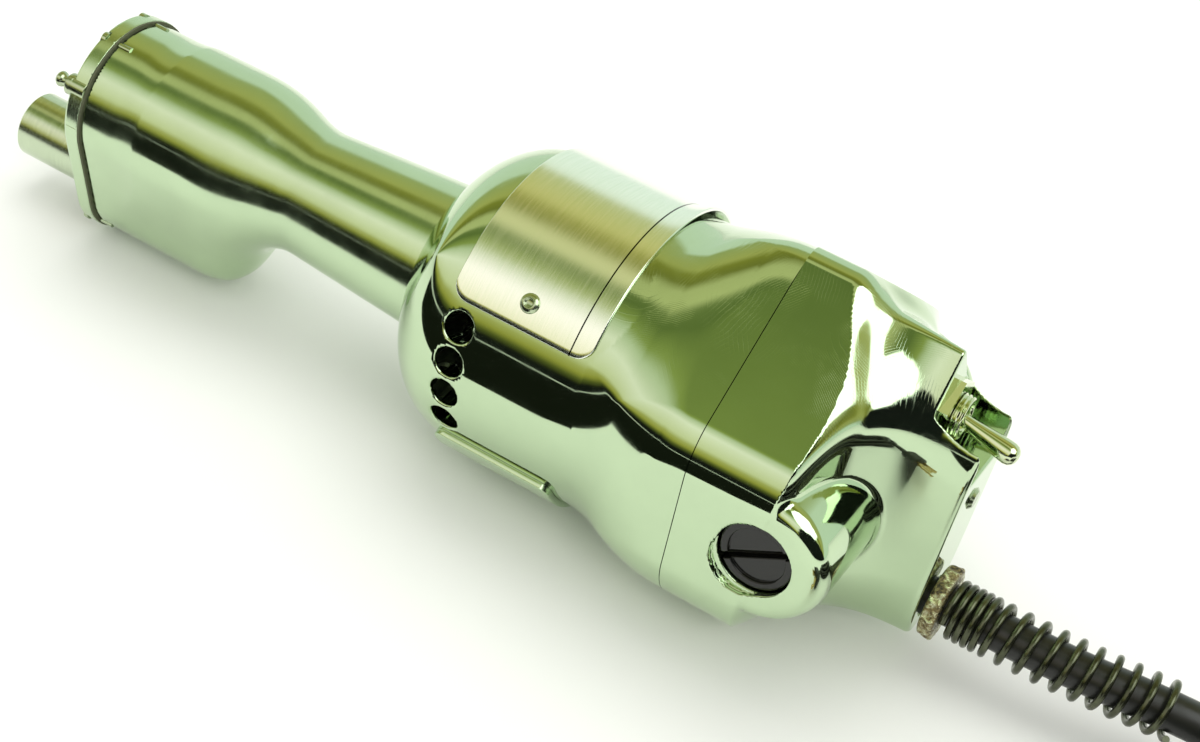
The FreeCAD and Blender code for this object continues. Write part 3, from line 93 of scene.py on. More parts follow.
class Nodes:
    """Short ways to add nodes to one material or world."""

    def __init__(self, owner):
        self.tree = owner.node_tree

    def add(self, kind, **values):
        node = self.tree.nodes.new(kind)
        for name, value in values.items():
            setattr(node, name, value)
        return node

    def join(self, output, target):
        self.tree.links.new(output, target)

    def place(self, scale=(1, 1, 1), shift=(0, 0, 0)):
        """Object coordinates in millimetres, stretched."""
        coords = self.add("ShaderNodeTexCoord")
        mapping = self.add("ShaderNodeMapping")
        mapping.inputs["Location"].default_value = shift
        mapping.inputs["Scale"].default_value = [s * 1000 for s in scale]
        self.join(coords.outputs["Object"], mapping.inputs[0])
        return mapping.outputs[0]

    def noise(self, where, scale, detail=2.0, rough=0.5, distortion=0.0):
        node = self.add("ShaderNodeTexNoise")
        node.inputs["Scale"].default_value = scale
        node.inputs["Detail"].default_value = detail
        node.inputs["Roughness"].default_value = rough
        node.inputs["Distortion"].default_value = distortion
        self.join(where, node.inputs["Vector"])
        return node.outputs[0]

    def ramp(self, value, stops):
        node = self.add("ShaderNodeValToRGB")
        elements = node.color_ramp.elements
        while len(elements) < len(stops):
            elements.new(0.5)
        for element, (at, colour) in zip(elements, stops):
            element.position = at
            if not hasattr(colour, "__len__"):
                colour = (colour, colour, colour)
            element.color = (*colour, 1)
        self.join(value, node.inputs[0])
        return node.outputs[0]

    def math(self, operation, a, b=0.0, c=0.0):
        node = self.add("ShaderNodeMath", operation=operation)
        for socket, value in zip(node.inputs, (a, b, c)):
            if hasattr(value, "links"):
                self.join(value, socket)
            else:
                socket.default_value = value
        return node.outputs[0]

    def mix(self, share, a, b):
        node = self.add("ShaderNodeMix", data_type="RGBA")
        for socket, value in ((node.inputs[0], share), (node.inputs[6], a), (node.inputs[7], b)):
            if hasattr(value, "links"):
                self.join(value, socket)
            else:
                socket.default_value = (*value, 1)
        return node.outputs[2]

    def bump(self, height, strength, distance_mm, after=None):
        node = self.add("ShaderNodeBump")
        node.inputs["Strength"].default_value = strength
        node.inputs["Distance"].default_value = distance_mm * MM
        self.join(height, node.inputs["Height"])
        if after is not None:
            self.join(after, node.inputs["Normal"])
        return node.outputs[0]

    def swirls(self, count=4, spread=34.0):
        """Fine curved scratches on the roof, as a cloth leaves them: thin rings about far-off centres."""
        total = None
        tall = 90.0
        height = self.add("ShaderNodeSeparateXYZ")
        self.join(self.place((1, 1, 1 / tall)), height.inputs[0])
        top = self.ramp(height.outputs[2], [(0.0, 0.0), (0.66, 0.0), (0.76, 1.0)])
        for index in range(count):
            angle = index * 1.9 + 0.7
            where = self.place(shift=(spread * math.cos(angle), spread * math.sin(angle), -45 + 9 * index))
            wave = self.add("ShaderNodeTexWave", wave_type="RINGS", rings_direction="SPHERICAL")
            wave.inputs["Scale"].default_value = 0.55 + 0.17 * index
            wave.inputs["Distortion"].default_value = 5.0
            wave.inputs["Detail"].default_value = 3.0
            wave.inputs["Detail Scale"].default_value = 0.25
            self.join(where, wave.inputs["Vector"])
            lines = self.ramp(wave.outputs["Fac"], [(0.0, 0.0), (0.90, 0.0), (1.0, 1.0)])
            near = self.ramp(self.noise(where, 0.06, 3.0, 0.6), [(0.0, 0.0), (0.52, 0.0), (0.66, 1.0)])
            lines = self.math("MULTIPLY", self.math("MULTIPLY", lines, near), top)
            total = lines if total is None else self.math("MAXIMUM", total, lines)
        return total


def plated(name, colour, low, high, scratch=0.35, marks=0.0):
    """Polished plating: slight waves, hazy patches, swirl scratches and, with marks, turning lines."""
    material, shader = new_material(name)
    n = Nodes(material)
    where = n.place()
    shader.inputs["Metallic"].default_value = 1.0
    haze = n.noise(where, 0.05, 4.0, 0.62)
    dark = [c * 0.93 for c in colour]
    n.join(n.ramp(haze, [(0.3, dark), (0.7, colour)]), shader.inputs["Base Color"])
    smear = n.noise(n.place((1, 2.4, 2.4)), 0.16, 5.0, 0.6)
    rough = n.ramp(smear, [(0.32, low), (0.72, high)])
    swirl = n.swirls()
    rough = n.math("MULTIPLY_ADD", swirl, 0.5 * scratch, rough)
    normal = n.bump(n.noise(where, 0.06, 0.0, 0.3), 0.012, 6.0)
    normal = n.bump(swirl, scratch, 0.02, normal)
    if marks:
        lines = n.noise(n.place((1, 0.03, 0.03)), 3.0, 3.0, 0.75)
        patch = n.ramp(n.noise(where, 0.04, 1.0, 0.5), [(0.35, 0.35), (0.6, 1.0)])
        lines = n.math("MULTIPLY", lines, patch)
        rough = n.math("MULTIPLY_ADD", lines, marks, rough)
        normal = n.bump(lines, marks, 0.03, normal)
    n.join(rough, shader.inputs["Roughness"])
    n.join(normal, shader.inputs["Normal"])
    return material


def turned_metal(name, colour, rough, rings=6.0, strength=0.3, spread=0.12):
    """Bright metal with fine turning marks round the X axis."""
    material, shader = new_material(name)
    n = Nodes(material)
    shader.inputs["Metallic"].default_value = 1.0
    lines = n.noise(n.place((1, 0.04, 0.04)), rings, 3.0, 0.75)
    shade = [c * 0.78 for c in colour]
    n.join(n.ramp(lines, [(0.3, shade), (0.7, colour)]), shader.inputs["Base Color"])
    n.join(n.ramp(lines, [(0.3, rough), (0.7, rough + spread)]), shader.inputs["Roughness"])
    n.join(n.bump(lines, strength, 0.03), shader.inputs["Normal"])
    return material


def plain(name, colour, rough, metallic=0.0, grain=3.0, depth=0.03, vary=0.25, coat=0.0):
    """A moulded, painted or cast surface with its own grain and colour changes."""
    material, shader = new_material(name)
    n = Nodes(material)
    where = n.place()
    shader.inputs["Metallic"].default_value = metallic
    shader.inputs["Coat Weight"].default_value = coat
    patches = n.noise(where, 0.25, 4.0, 0.6)
    dark = [c * (1 - vary) for c in colour]
    n.join(n.ramp(patches, [(0.3, dark), (0.7, colour)]), shader.inputs["Base Color"])
    n.join(n.ramp(patches, [(0.3, rough * 0.8), (0.7, min(1.0, rough * 1.2))]),
           shader.inputs["Roughness"])
    fine = n.noise(where, grain, 3.0, 0.6)
    n.join(n.bump(fine, 0.4, depth), shader.inputs["Normal"])
    return material


def plate_metal():
    """Satin aluminium, brushed round the barrel, with one ruled line across."""
    line_x, half_line = 34.0, 0.16
    material, shader = new_material("plate")
    n = Nodes(material)
    shader.inputs["Metallic"].default_value = 1.0
    brush = n.noise(n.place((2.2, 0.06, 0.06)), 2.0, 4.0, 0.7)
    tint = n.ramp(brush, [(0.3, (0.84, 0.92, 0.78)), (0.7, (0.96, 1.0, 0.92))])
    along = n.add("ShaderNodeSeparateXYZ")
    n.join(n.place(), along.inputs[0])
    off_line = n.math("ABSOLUTE", n.math("SUBTRACT", along.outputs[0], line_x))
    line = n.math("LESS_THAN", off_line, half_line)
    n.join(n.mix(line, tint, (0.02, 0.022, 0.018)), shader.inputs["Base Color"])
    n.join(n.ramp(brush, [(0.3, 0.16), (0.7, 0.25)]), shader.inputs["Roughness"])
    n.join(n.bump(brush, 0.12, 0.02), shader.inputs["Normal"])
    return material


def stained_metal():
    """A crimped ferrule: bright metal under brown and black stains."""
    material, shader = new_material("ferrule_steel")
    n = Nodes(material)
    where = n.place()
    stain = n.noise(where, 0.55, 5.0, 0.7, 1.5)
    n.join(n.ramp(stain, [(0.36, (0.03, 0.025, 0.012)), (0.48, (0.26, 0.20, 0.08)),
                          (0.60, (0.70, 0.72, 0.50))]), shader.inputs["Base Color"])
    n.join(n.ramp(stain, [(0.40, 0.0), (0.55, 1.0)]), shader.inputs["Metallic"])
    n.join(n.ramp(stain, [(0.36, 0.55), (0.60, 0.18)]), shader.inputs["Roughness"])
    n.join(n.bump(stain, 0.8, 0.5), shader.inputs["Normal"])
    return material


NICKEL = (0.55, 0.69, 0.46)
chrome = plated("plated_casting", NICKEL, 0.03, 0.085)
nose_chrome = plated("plated_casting_nose", NICKEL, 0.05, 0.12, marks=0.16)
cover_metal = plated("plated_cover", (0.56, 0.70, 0.47), 0.10, 0.20, scratch=0.6, marks=0.2)
screw_metal = plated("screw_steel", (0.48, 0.56, 0.38), 0.14, 0.3)
switch_bright = plated("switch_metal", (0.66, 0.74, 0.50), 0.05, 0.14)
satin = plate_metal()
stained = stained_metal()
arbor_metal = turned_metal("arbor_steel", (0.62, 0.72, 0.52), 0.16)
shaft_metal = turned_metal("shaft_steel", (0.55, 0.55, 0.53), 0.25)
bearing_metal = turned_metal("bearing_steel", (0.66, 0.66, 0.64), 0.18, 3.0, 0.15)
bronze = turned_metal("bronze", (0.62, 0.45, 0.24), 0.25)
copper = turned_metal("copper", (0.72, 0.36, 0.20), 0.28)
bakelite = plain("cap_bakelite", (0.005, 0.005, 0.0045), 0.22, grain=6.0, depth=0.01)
phenolic = plain("switch_phenolic", (0.035, 0.030, 0.025), 0.5)
gasket = plain("gasket", (0.10, 0.11, 0.06), 0.8)
core_iron = plain("core_iron", (0.05, 0.045, 0.04), 0.6, 0.5)
winding = plain("winding_varnish", (0.10, 0.035, 0.015), 0.35, 0.2, 2.0, 0.1)
fan_alloy = plain("fan_alloy", (0.25, 0.25, 0.24), 0.5, 0.8)
carbon = plain("carbon", (0.03, 0.03, 0.03), 0.6)
brass = plain("blade_brass", (0.72, 0.55, 0.26), 0.25, 1.0, 4.0, 0.01)
rubber = plain("cord_rubber", (0.012, 0.013, 0.011), 0.34, grain=1.6, depth=0.04)
plug_rubber = plain("plug_rubber", (0.020, 0.020, 0.018), 0.5, grain=2.0, depth=0.06)
oiled = plain("spring_steel", (0.13, 0.14, 0.09), 0.24, 0.9, 2.0, 0.03, 0.55)

DRESS = {
    "head_cover": cover_metal, "cover_gasket": gasket, "cover_screws": screw_metal,
    "grease_nipple": screw_metal, "nameplate": satin, "nameplate_rivets": screw_metal,
    "belly_plate": cover_metal, "belly_plate_screws": screw_metal, "rear_screw": screw_metal,
    "stator_core": core_iron, "field_coils": winding, "arbor_bush": bronze,
    "armature_shaft": shaft_metal, "armature_core": core_iron, "armature_winding": winding,
    "commutator": copper, "cooling_fan": fan_alloy, "shaft_coupling": shaft_metal,
    "drive_shaft": shaft_metal, "eccentric_hub": shaft_metal, "arbor_spindle": arbor_metal,
    "swing_fork": shaft_metal, "fork_pin": shaft_metal, "brush_holders": bronze,
    "carbon_brushes": carbon, "brush_springs": shaft_metal, "brush_caps": bakelite,
    "switch_body": phenolic, "switch_neck": switch_bright, "switch_nut": switch_bright,
    "toggle_lever": switch_bright, "plug_body": plug_rubber, "plug_blades": brass,
    "cord_ferrule": stained, "strain_relief_spring": oiled, "power_cord": rubber,
    "cord_coil": rubber,
}
for node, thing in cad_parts.items():
    skin = DRESS.get(node, bearing_metal if "bearing" in node else chrome)
    thing.data.materials.clear()
    thing.data.materials.append(skin)
    for face in thing.data.polygons:
        face.use_smooth = True


# Mesh helpers

def new_object(name, points, faces, material, normals=None, sharp=None):
    """A smooth-shaded mesh from points in millimetres."""
    mesh = bpy.data.meshes.new(name)
    mesh.from_pydata((np.asarray(points) * MM).tolist(), [], [list(f) for f in faces])
    mesh.update()
    mesh.polygons.foreach_set("use_smooth", [True] * len(mesh.polygons))
    if sharp is not None:
        mesh.set_sharp_from_angle(angle=math.radians(sharp))
    if normals is not None:
        mesh.normals_split_custom_set_from_vertices(normals.tolist())
    thing = bpy.data.objects.new(name, mesh)
    bpy.context.scene.collection.objects.link(thing)
    thing.data.materials.append(material)
    return thing


def stand_in(piece, *nodes, body="frame", slot=None):
    """Let a piece take the place of CAD nodes and ride a body."""
    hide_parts(*nodes)
    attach(piece, body)


def slope(field, points, e):
    """The field's gradient at the points, over a distance of e each way."""
    x, y, z = points.T
    return np.stack([
        field(x + e, y, z) - field(x - e, y, z),
        field(x, y + e, z) - field(x, y - e, z),
        field(x, y, z + e) - field(x, y, z - e),
    ], 1) / (2 * e)


def surface_net(name, field, low, high, cell, material, flat=None):
    """The surface where a distance field is zero, with the field's own normals.

    With flat=("low" or "high", x), the net stays open at that end and stops in the plane x.
    """
    low, high = list(low), list(high)
    if flat:
        if flat[0] == "low":
            low[0] = flat[1] - cell / 2
        else:
            low[0] = flat[1] + cell / 2 - cell * math.ceil((flat[1] - low[0]) / cell)
            high[0] = flat[1] - cell / 2
    axes = [np.arange(a, b + cell, cell) for a, b in zip(low, high)]
    grid = field(*np.meshgrid(*axes, indexing="ij", sparse=True))
    grid = np.broadcast_to(grid, [len(a) for a in axes])
    inside = grid < 0
    cells = [n - 1 for n in inside.shape]
    count = np.zeros(cells, np.int8)
    for a, b, c in itertools.product((0, 1), repeat=3):
        count += inside[a:a + cells[0], b:b + cells[1], c:c + cells[2]]
    corners = np.argwhere((count > 0) & (count < 8))
    index = np.full(cells, -1, np.int64)
    index[tuple(corners.T)] = np.arange(len(corners))
    total = np.zeros((len(corners), 3))
    hits = np.zeros(len(corners))
    for axis in range(3):
        others = [i for i in range(3) if i != axis]
        for p, q in itertools.product((0, 1), repeat=2):
            start = corners.copy()
            start[:, others[0]] += p
            start[:, others[1]] += q
            stop = start.copy()
            stop[:, axis] += 1
            u, v = grid[tuple(start.T)], grid[tuple(stop.T)]
            crossed = (u < 0) != (v < 0)
            spot = start.astype(float)
            spot[crossed, axis] += u[crossed] / (u[crossed] - v[crossed])
            total[crossed] += spot[crossed]
            hits += crossed
    points = total / hits[:, None] * cell + np.array(low)
    faces = []
    for axis in range(3):
        b, c = (axis + 1) % 3, (axis + 2) % 3
        ahead = [slice(None)] * 3
        ahead[axis] = slice(1, None)
        here = [slice(None)] * 3
        here[axis] = slice(None, -1)
        edges = np.argwhere(inside[tuple(here)] != inside[tuple(ahead)])
        edges = edges[(edges[:, b] > 0) & (edges[:, c] > 0)
                      & (edges[:, b] < cells[b]) & (edges[:, c] < cells[c])]
        ring = []
        for p, q in ((-1, -1), (0, -1), (0, 0), (-1, 0)):
            spot = edges.copy()
            spot[:, b] += p
            spot[:, c] += q
            ring.append(index[tuple(spot.T)])
        ring = np.stack(ring, 1)
        back = ~inside[tuple(edges.T)]
        ring[back] = ring[back][:, ::-1]
        faces.append(ring)
    faces = np.concatenate(faces)
    rim = np.zeros(len(points), bool)
    if flat:
        rim = corners[:, 0] == (0 if flat[0] == "low" else cells[0] - 1)
        points[rim, 0] = flat[1]

    for _ in range(5):
        way = slope(field, points, 0.02)
        way[rim, 0] = 0
        size = np.maximum((way ** 2).sum(1), 0.05)
        step = -field(*points.T) / size
        step = np.clip(step, -cell * 0.6, cell * 0.6)
        points = points + way * step[:, None]
    way = slope(field, points, 0.12)
    way /= np.linalg.norm(way, axis=1)[:, None] + 1e-9
    return new_object(name, points, faces, material, normals=way)


def turned(name, profile, at, along, material, around=56, bevel=0.2, sharp=38):
    """A turned piece: (distance, radius) points along an axis, with the corners broken."""
    along = Vector(along).normalized()
    side = along.orthogonal().normalized()
    other = along.cross(side)
    line = [Vector(p) for p in profile]
    soft = [line[0]]
    for before, here, after in zip(line, line[1:], line[2:]):
        for end in (before, after):
            reach = min(bevel, (end - here).length * 0.4)
            soft.append(here + (end - here).normalized() * reach)
    soft.append(line[-1])
    points, faces = [], []
    for t, radius in soft:
        for k in range(around):
            a = 2 * math.pi * k / around
            way = side * math.cos(a) + other * math.sin(a)
            points.append(Vector(at) + along * t + way * max(radius, 0.001))
    for row in range(len(soft) - 1):
        for k in range(around):
            a, b = row * around + k, row * around + (k + 1) % around
            faces.append((a, b, b + around, a + around))
    faces.append(range(around - 1, -1, -1))
    last = (len(soft) - 1) * around
    faces.append(range(last, last + around))
    return new_object(name, [tuple(p) for p in points], faces, material, sharp=sharp)


def pipe(name, path, radius, around, material):
    """A round tube along a path of points in millimetres, with flat ends."""
    path = np.asarray(path)
    way = np.gradient(path, axis=0)
    way /= np.linalg.norm(way, axis=1)[:, None]
    side = np.cross(way[0], (0.3, 0.2, 0.9))
    points = []
    for spot, t in zip(path, way):
        side = side - t * side.dot(t)
        side /= np.linalg.norm(side)
        other = np.cross(t, side)
        for k in range(around):
            a = 2 * math.pi * k / around
            points.append(spot + radius * (side * math.cos(a) + other * math.sin(a)))
    faces = []
    for row in range(len(path) - 1):
        for k in range(around):
            a, b = row * around + k, row * around + (k + 1) % around
            faces.append((a, b, b + around, a + around))
    last = (len(path) - 1) * around
    faces.append(range(around - 1, -1, -1))
    faces.append(range(last, last + around))
    return new_object(name, points, faces, material, sharp=60)


def wrapped_plate(name, x0, length, middle, half, corner, inner, thick, material, lift=None):
    """A plate with round corners, bent round the barrel; half is its half angle in degrees."""
    mean = inner + thick / 2
    reach = mean * math.radians(half)
    turn = np.sin(np.linspace(0, math.pi / 2, 8))
    ends = corner * turn
    mid = np.linspace(-length / 2 + corner, length / 2 - corner, 24)
    t = np.concatenate([mid[0] - ends[:0:-1], mid, mid[-1] + ends[1:]])
    v = np.linspace(-1, 1, 65)
    layers = []
    for inset, height in ((0.0, 0.0), (0.0, thick - 0.16), (0.16, thick)):
        along = t * (1 - 2 * inset / length)
        round_off = np.maximum(0, np.abs(t) - (length / 2 - corner))
        tall = reach - inset - corner + np.sqrt(np.maximum(corner ** 2 - round_off ** 2, 0))
        a = math.radians(middle) + v[None, :] * tall[:, None] / mean
        x = np.broadcast_to((x0 + length / 2 + along)[:, None], a.shape)
        r = inner + height + (lift(x, np.degrees(a)) if lift else 0)
        layers.append(np.stack([x, r * np.cos(a), AXIS + r * np.sin(a)], -1).reshape(-1, 3))
    rows, cols = len(t), len(v)
    size = rows * cols
    edge = [(0, j) for j in range(cols)]
    edge += [(i, cols - 1) for i in range(1, rows)]
    edge += [(rows - 1, j) for j in range(cols - 2, -1, -1)]
    edge += [(i, 0) for i in range(rows - 2, 0, -1)]
    edge = [i * cols + j for i, j in edge]
    faces = []
    for i in range(rows - 1):
        for j in range(cols - 1):
            a = i * cols + j
            faces.append((a, a + cols, a + cols + 1, a + 1))
            top = 2 * size + a
            faces.append((top, top + 1, top + cols + 1, top + cols))
    for low in (0, size):
        for p, q in zip(edge, edge[1:] + edge[:1]):
            faces.append((low + p, low + q, low + size + q, low + size + p))
    return new_object(name, np.concatenate(layers), faces, material, sharp=50)


# Distance fields: negative inside

def both(a, b, r=0.0):
    """Where both are, with the edge rounded to a radius."""
    if np.ndim(r) == 0 and r == 0:
        return np.maximum(a, b)
    return np.minimum(-r, np.maximum(a, b)) + np.hypot(np.maximum(a + r, 0), np.maximum(b + r, 0))


def either(a, b, r=0.0):
    """Where one or the other is, with the corner filled to a radius."""
    if np.ndim(r) == 0 and r == 0:
        return np.minimum(a, b)
    return np.maximum(r, np.minimum(a, b)) - np.hypot(np.maximum(r - a, 0), np.maximum(r - b, 0))


def less(a, b, r=0.0):
    """The first without the second, with the edge rounded."""
    return both(a, -b, r)


def ease(t):
    """0 to 1 with soft ends."""
    t = np.clip(t, 0, 1)
    return t * t * (3 - 2 * t)


def house(y, z):
    """The section of the two motor castings, from the motor axis."""
    y = np.abs(y)
    out, up = 0.59718, 0.80210
    roof = out * y + up * z - up * RIDGE
    other = -out * y + up * z - up * RIDGE
    chamfer = 0.63003 * y - 0.77657 * z - 40.36
    underside = 0.05 - AXIS - z
    shape = both(both(both(roof, other, 4.2), y - SIDE, 5.5), chamfer, 5.5)
    return both(shape, underside, 4.5)


def flare(x):
    """Radius and steepness of the turned flare behind the barrel: a crown, a cone and a hollow toe."""
    start, knee, bend, end = 0.593, 8.012, 19.342, 31.0
    cone = 0.62487
    past_start = np.clip(x, start, knee) - start
    to_end = end - np.clip(x, bend, end)
    crown = np.sqrt(np.maximum(14.0 ** 2 - past_start ** 2, 1))
    toe = np.sqrt(np.maximum(22.0 ** 2 - to_end ** 2, 1))
    radius = np.where(x < bend, 45.573 - (x - knee) * cone, 57.15 - toe)
    steep = np.where(x < bend, cone, to_end / toe)
    return np.where(x < knee, 33.7 + crown, radius), np.where(x < knee, past_start / crown, steep)


def motor_field(x, y, z):
    """The motor housing: the barrel, the flare and the front of the shared section, with vents."""
    z = z - AXIS
    radius = np.hypot(y, z)
    barrel = both(radius - BARREL, x - NOSE_X, 20.5)
    widest, steep = flare(x)
    section = both(house(y, z), (radius - widest) / np.hypot(1, steep), 6.0)
    shell = either(barrel, both(section, x - 45))
    inner = both(radius - (BARREL - 3.6), x - 62.0, 8.0)
    shell = less(shell, inner)
    shell = less(shell, both(radius - 13.9, 60 - x), 0.6)
    for side in (-1, 1):
        for angle in (-20.7, -6.9, 6.9, 20.7):
            a = math.radians(angle)
            along = side * y * math.cos(a) + z * math.sin(a)
            across = side * y * math.sin(a) - z * math.cos(a)
            hole = np.hypot(x - 59.1, across) - 3.45
            shell = less(shell, both(hole, 20 - along), 0.5)
    return shell


def tail_section(x, y, z):
    """The boat-shaped tail: narrow at the rear face, flaring out in a hollow curve."""
    y = np.abs(y)
    base = 20.5
    u = np.clip(x + 47.2, -2, 31)
    half = 10.6 + 0.00106 * np.maximum(u, 0) ** 3
    ridge = 40.6 + 0.048 * u
    shoulder = 21.4 + 4.6 * ease(u / 21) - 5.0 * ease((u - 22) / 12)
    low = 30.2 + 0.03 * u
    rise = ridge - shoulder
    size = np.hypot(half, rise)
    roof = (rise * y + half * (z - ridge)) / size
    other = (-rise * y + half * (z - ridge)) / size
    side = (y - half) / np.hypot(1, 0.00318 * np.maximum(u, 0) ** 2)
    out = half * 0.55
    drop = low - base
    size = np.hypot(drop, out)
    keel = (drop * (y - half) - out * (z + base)) / size
    shape = both(roof, other, 2.0)
    shape = both(shape, side, 3.0)
    shape = both(shape, keel, 4.5)
    return both(shape, -z - low, 2.0)


def rear_field(x, y, z):
    """The rear housing: block, brush pods and tail, with the switch recess and the holes."""
    z = z - AXIS
    near = np.abs(y)
    from_brush = np.hypot(x - BRUSH_X, z)
    switch_up, cord_down = 25.2, 21.4
    from_switch = z - switch_up
    from_cord = z + cord_down
    high = ease((z - 2) / 14)
    back = -16.0 - 5.0 * ease((near - 4) / 16) * high
    block = both(house(y, z), back - x, 6.0)
    pod = both(both(from_brush - 15.6, near - SIDE, 4.6), house(y, z), 1.0)
    pod = both(pod, x + 2.0)
    tail = both(tail_section(x, y, z), -x - 47.4 - 0.045 * (z - 4), 1.2)
    tail = both(tail, x + 8.0)
    shell = either(either(block, tail, 6.0), pod, 1.5)
    shell = both(shell, house(y, z))
    recess = both(both(near - 8.3, 16.6 - z, 1.2), x + 36.3, 0.6)
    shell = less(shell, recess, 0.6)
    shell = less(shell, both(from_brush - 8.5, 33.1 - near), 0.35)
    scallop = both(np.hypot(x - BRUSH_X - 1.9, z + 2.4) - 7.4, 38.7 - near)
    shell = less(shell, scallop, 0.2)
    shell = less(shell, both(from_brush - 5.6, 12.0 - near))
    shell = less(shell, both(np.hypot(y, z) - 31.0, -x - 12.0))
    neck = both(np.hypot(y, from_switch) - 5.1, x + 30.0)
    shell = less(shell, neck, 0.2)
    switch = both(both(near - 6.0, np.abs(from_switch) - 6.0), -x - 33.2)
    shell = less(shell, switch)
    cord = both(np.hypot(y, from_cord) - 4.9, x + 20)
    return less(shell, cord, 0.5)


def egg(y, z, upper, lower):
    """Two rounds, one above the other, with flat sides between them."""
    y = np.abs(y)
    lean = (upper - lower) / ARBOR
    out = math.sqrt(1 - lean * lean)
    down = -z
    side = y * out + down * lean - upper
    along = -y * lean + down * out
    top = np.hypot(y, z) - upper
    bottom = np.hypot(y, z + ARBOR) - lower
    return np.where(along < 0, top, np.where(along > ARBOR * out, bottom, side))


def nose_field(x, y, z):
    """The nose housing: a tapered neck that runs into the head, hollow inside."""
    z = z - AXIS
    wall = 2.6
    radius = np.hypot(y, z)
    neck = radius - (17.75 - (x - NOSE_X) * 0.0722)
    neck = both(neck, x - 150)
    neck = both(neck, NOSE_X + 0.1 - x, 0.3)
    spigot = both(both(radius - 13.8, 74 - x), x - 100)
    outline = egg(y, z, *HEAD)
    head = both(outline, 131.6 - x, 12.5)
    shell = either(neck, head, 15.0)
    shell = both(shell, outline, 3.0)
    shell = either(shell, spigot)
    shell = both(shell, x - COVER_X[0] + 0.5, 0.12)
    shell = less(shell, both(radius - 9.5, x - 142))
    return less(shell, both(egg(y, z, HEAD[0] - wall, HEAD[1] - wall), 144 - x))


def cover_field(x, y, z):
    """The head's cover plate, with its screw heads' seats and the holes for nipple and arbor."""
    z = z - AXIS
    back, front = COVER_X
    plate = both(both(egg(y, z, *HEAD), x - front, 0.8), back - x, 0.12)
    for y0, z0 in ((6.3, 17.3), (-6.3, 17.3), (9.9, -29.9), (-9.9, -29.9)):
        plate = less(plate, both(np.hypot(y - y0, z - z0) - 1.75, front - 1.3 - x), 0.15)
    plate = less(plate, np.hypot(y - 15.8, z - 8.6) - 1.3)
    return less(plate, np.hypot(y, z + ARBOR) - 11.0, 0.2)


def cap_field(side):
    """A brush cap: a dished disc with a screwdriver slot."""
    def field(x, y, z):
        z = z - AXIS
        y = y * side
        radius = np.hypot(x - BRUSH_X, z)
        cap = both(both(radius - 8.3, y - 38.0, 0.5), 33.1 - y)
        cap = less(cap, both(radius - 6.4, 37.3 - y), 0.3)
        across_slot = 0.5 * (x - BRUSH_X) + 0.866 * z
        return less(cap, both(np.abs(across_slot) - 0.8, 35.6 - y), 0.15)
    return field


FINE = 1.0
castings = [
    (surface_net("motor_casting", motor_field, (0, -41, -1), (82, 41, 85), 0.62 * FINE, chrome,
                 ("low", SEAM)), "motor_housing"),
    (surface_net("rear_casting", rear_field, (-50, -41, -1), (0, 41, 85), 0.5 * FINE, chrome,
                 ("high", -SEAM)), "rear_housing"),
    (surface_net("nose_casting", nose_field, (73, -21, 0), (174, 21, 58), 0.6 * FINE, nose_chrome),
     "nose_housing"),
    (surface_net("head_plate", cover_field, (172, -21, 0), (179, 21, 58), 0.4 * FINE, cover_metal),
     "head_cover"),
]
for piece, node in castings:
    stand_in(piece, node, slot="plated_cover" if node == "head_cover" else "plated_casting")


# Small fittings

def fittings():
    """The two curved plates, the rivets and the brush caps."""
    inner, thick = BARREL + 0.05, 0.7

    def curl(x, angle):
        """The plate's rear edge, bent up over the top."""
        return 1.5 * ease((34 - x) / 5) * ease((angle - 84) / 50)

    plate = wrapped_plate("name_plate", 29.5, 33.9, 90, 60, 4.0, inner, thick, satin, curl)
    stand_in(plate, "nameplate", slot="plate")
    belly = wrapped_plate("access_plate", 32.0, 30.0, -90, 60, 3.0, inner, 1.42, cover_metal)
    stand_in(belly, "belly_plate", slot="plated_cover")
    rivet = [(-0.6, 2.2), (0.25, 2.2), (0.6, 1.95), (0.95, 1.35), (1.0, 1.05), (0.45, 0.8), (0.4, 0.0)]
    rivets = []
    for angle in (39.5, 140.5):
        a = math.radians(angle)
        way = (0, math.cos(a), math.sin(a))
        over = BARREL + thick
        spot = (46.4, over * way[1], AXIS + over * way[2])
        rivets.append(turned("rivet_%d" % angle, rivet, spot, way, screw_metal, 40, 0.12, 60))
    stand_in(rivets[0], "nameplate_rivets", slot="screw_steel")
    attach(rivets[1], "frame")
    for side, label in ((1, "near"), (-1, "far")):
        low, high = sorted((32.5 * side, 38.6 * side))
        cap = surface_net("cap_" + label, cap_field(side), (-27.5, low, 27.5), (-9, high, 46),
                          0.22 * FINE, bakelite)
        if side == 1:
            stand_in(cap, "brush_caps", slot="cap_bakelite")
        else:
            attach(cap, "frame")


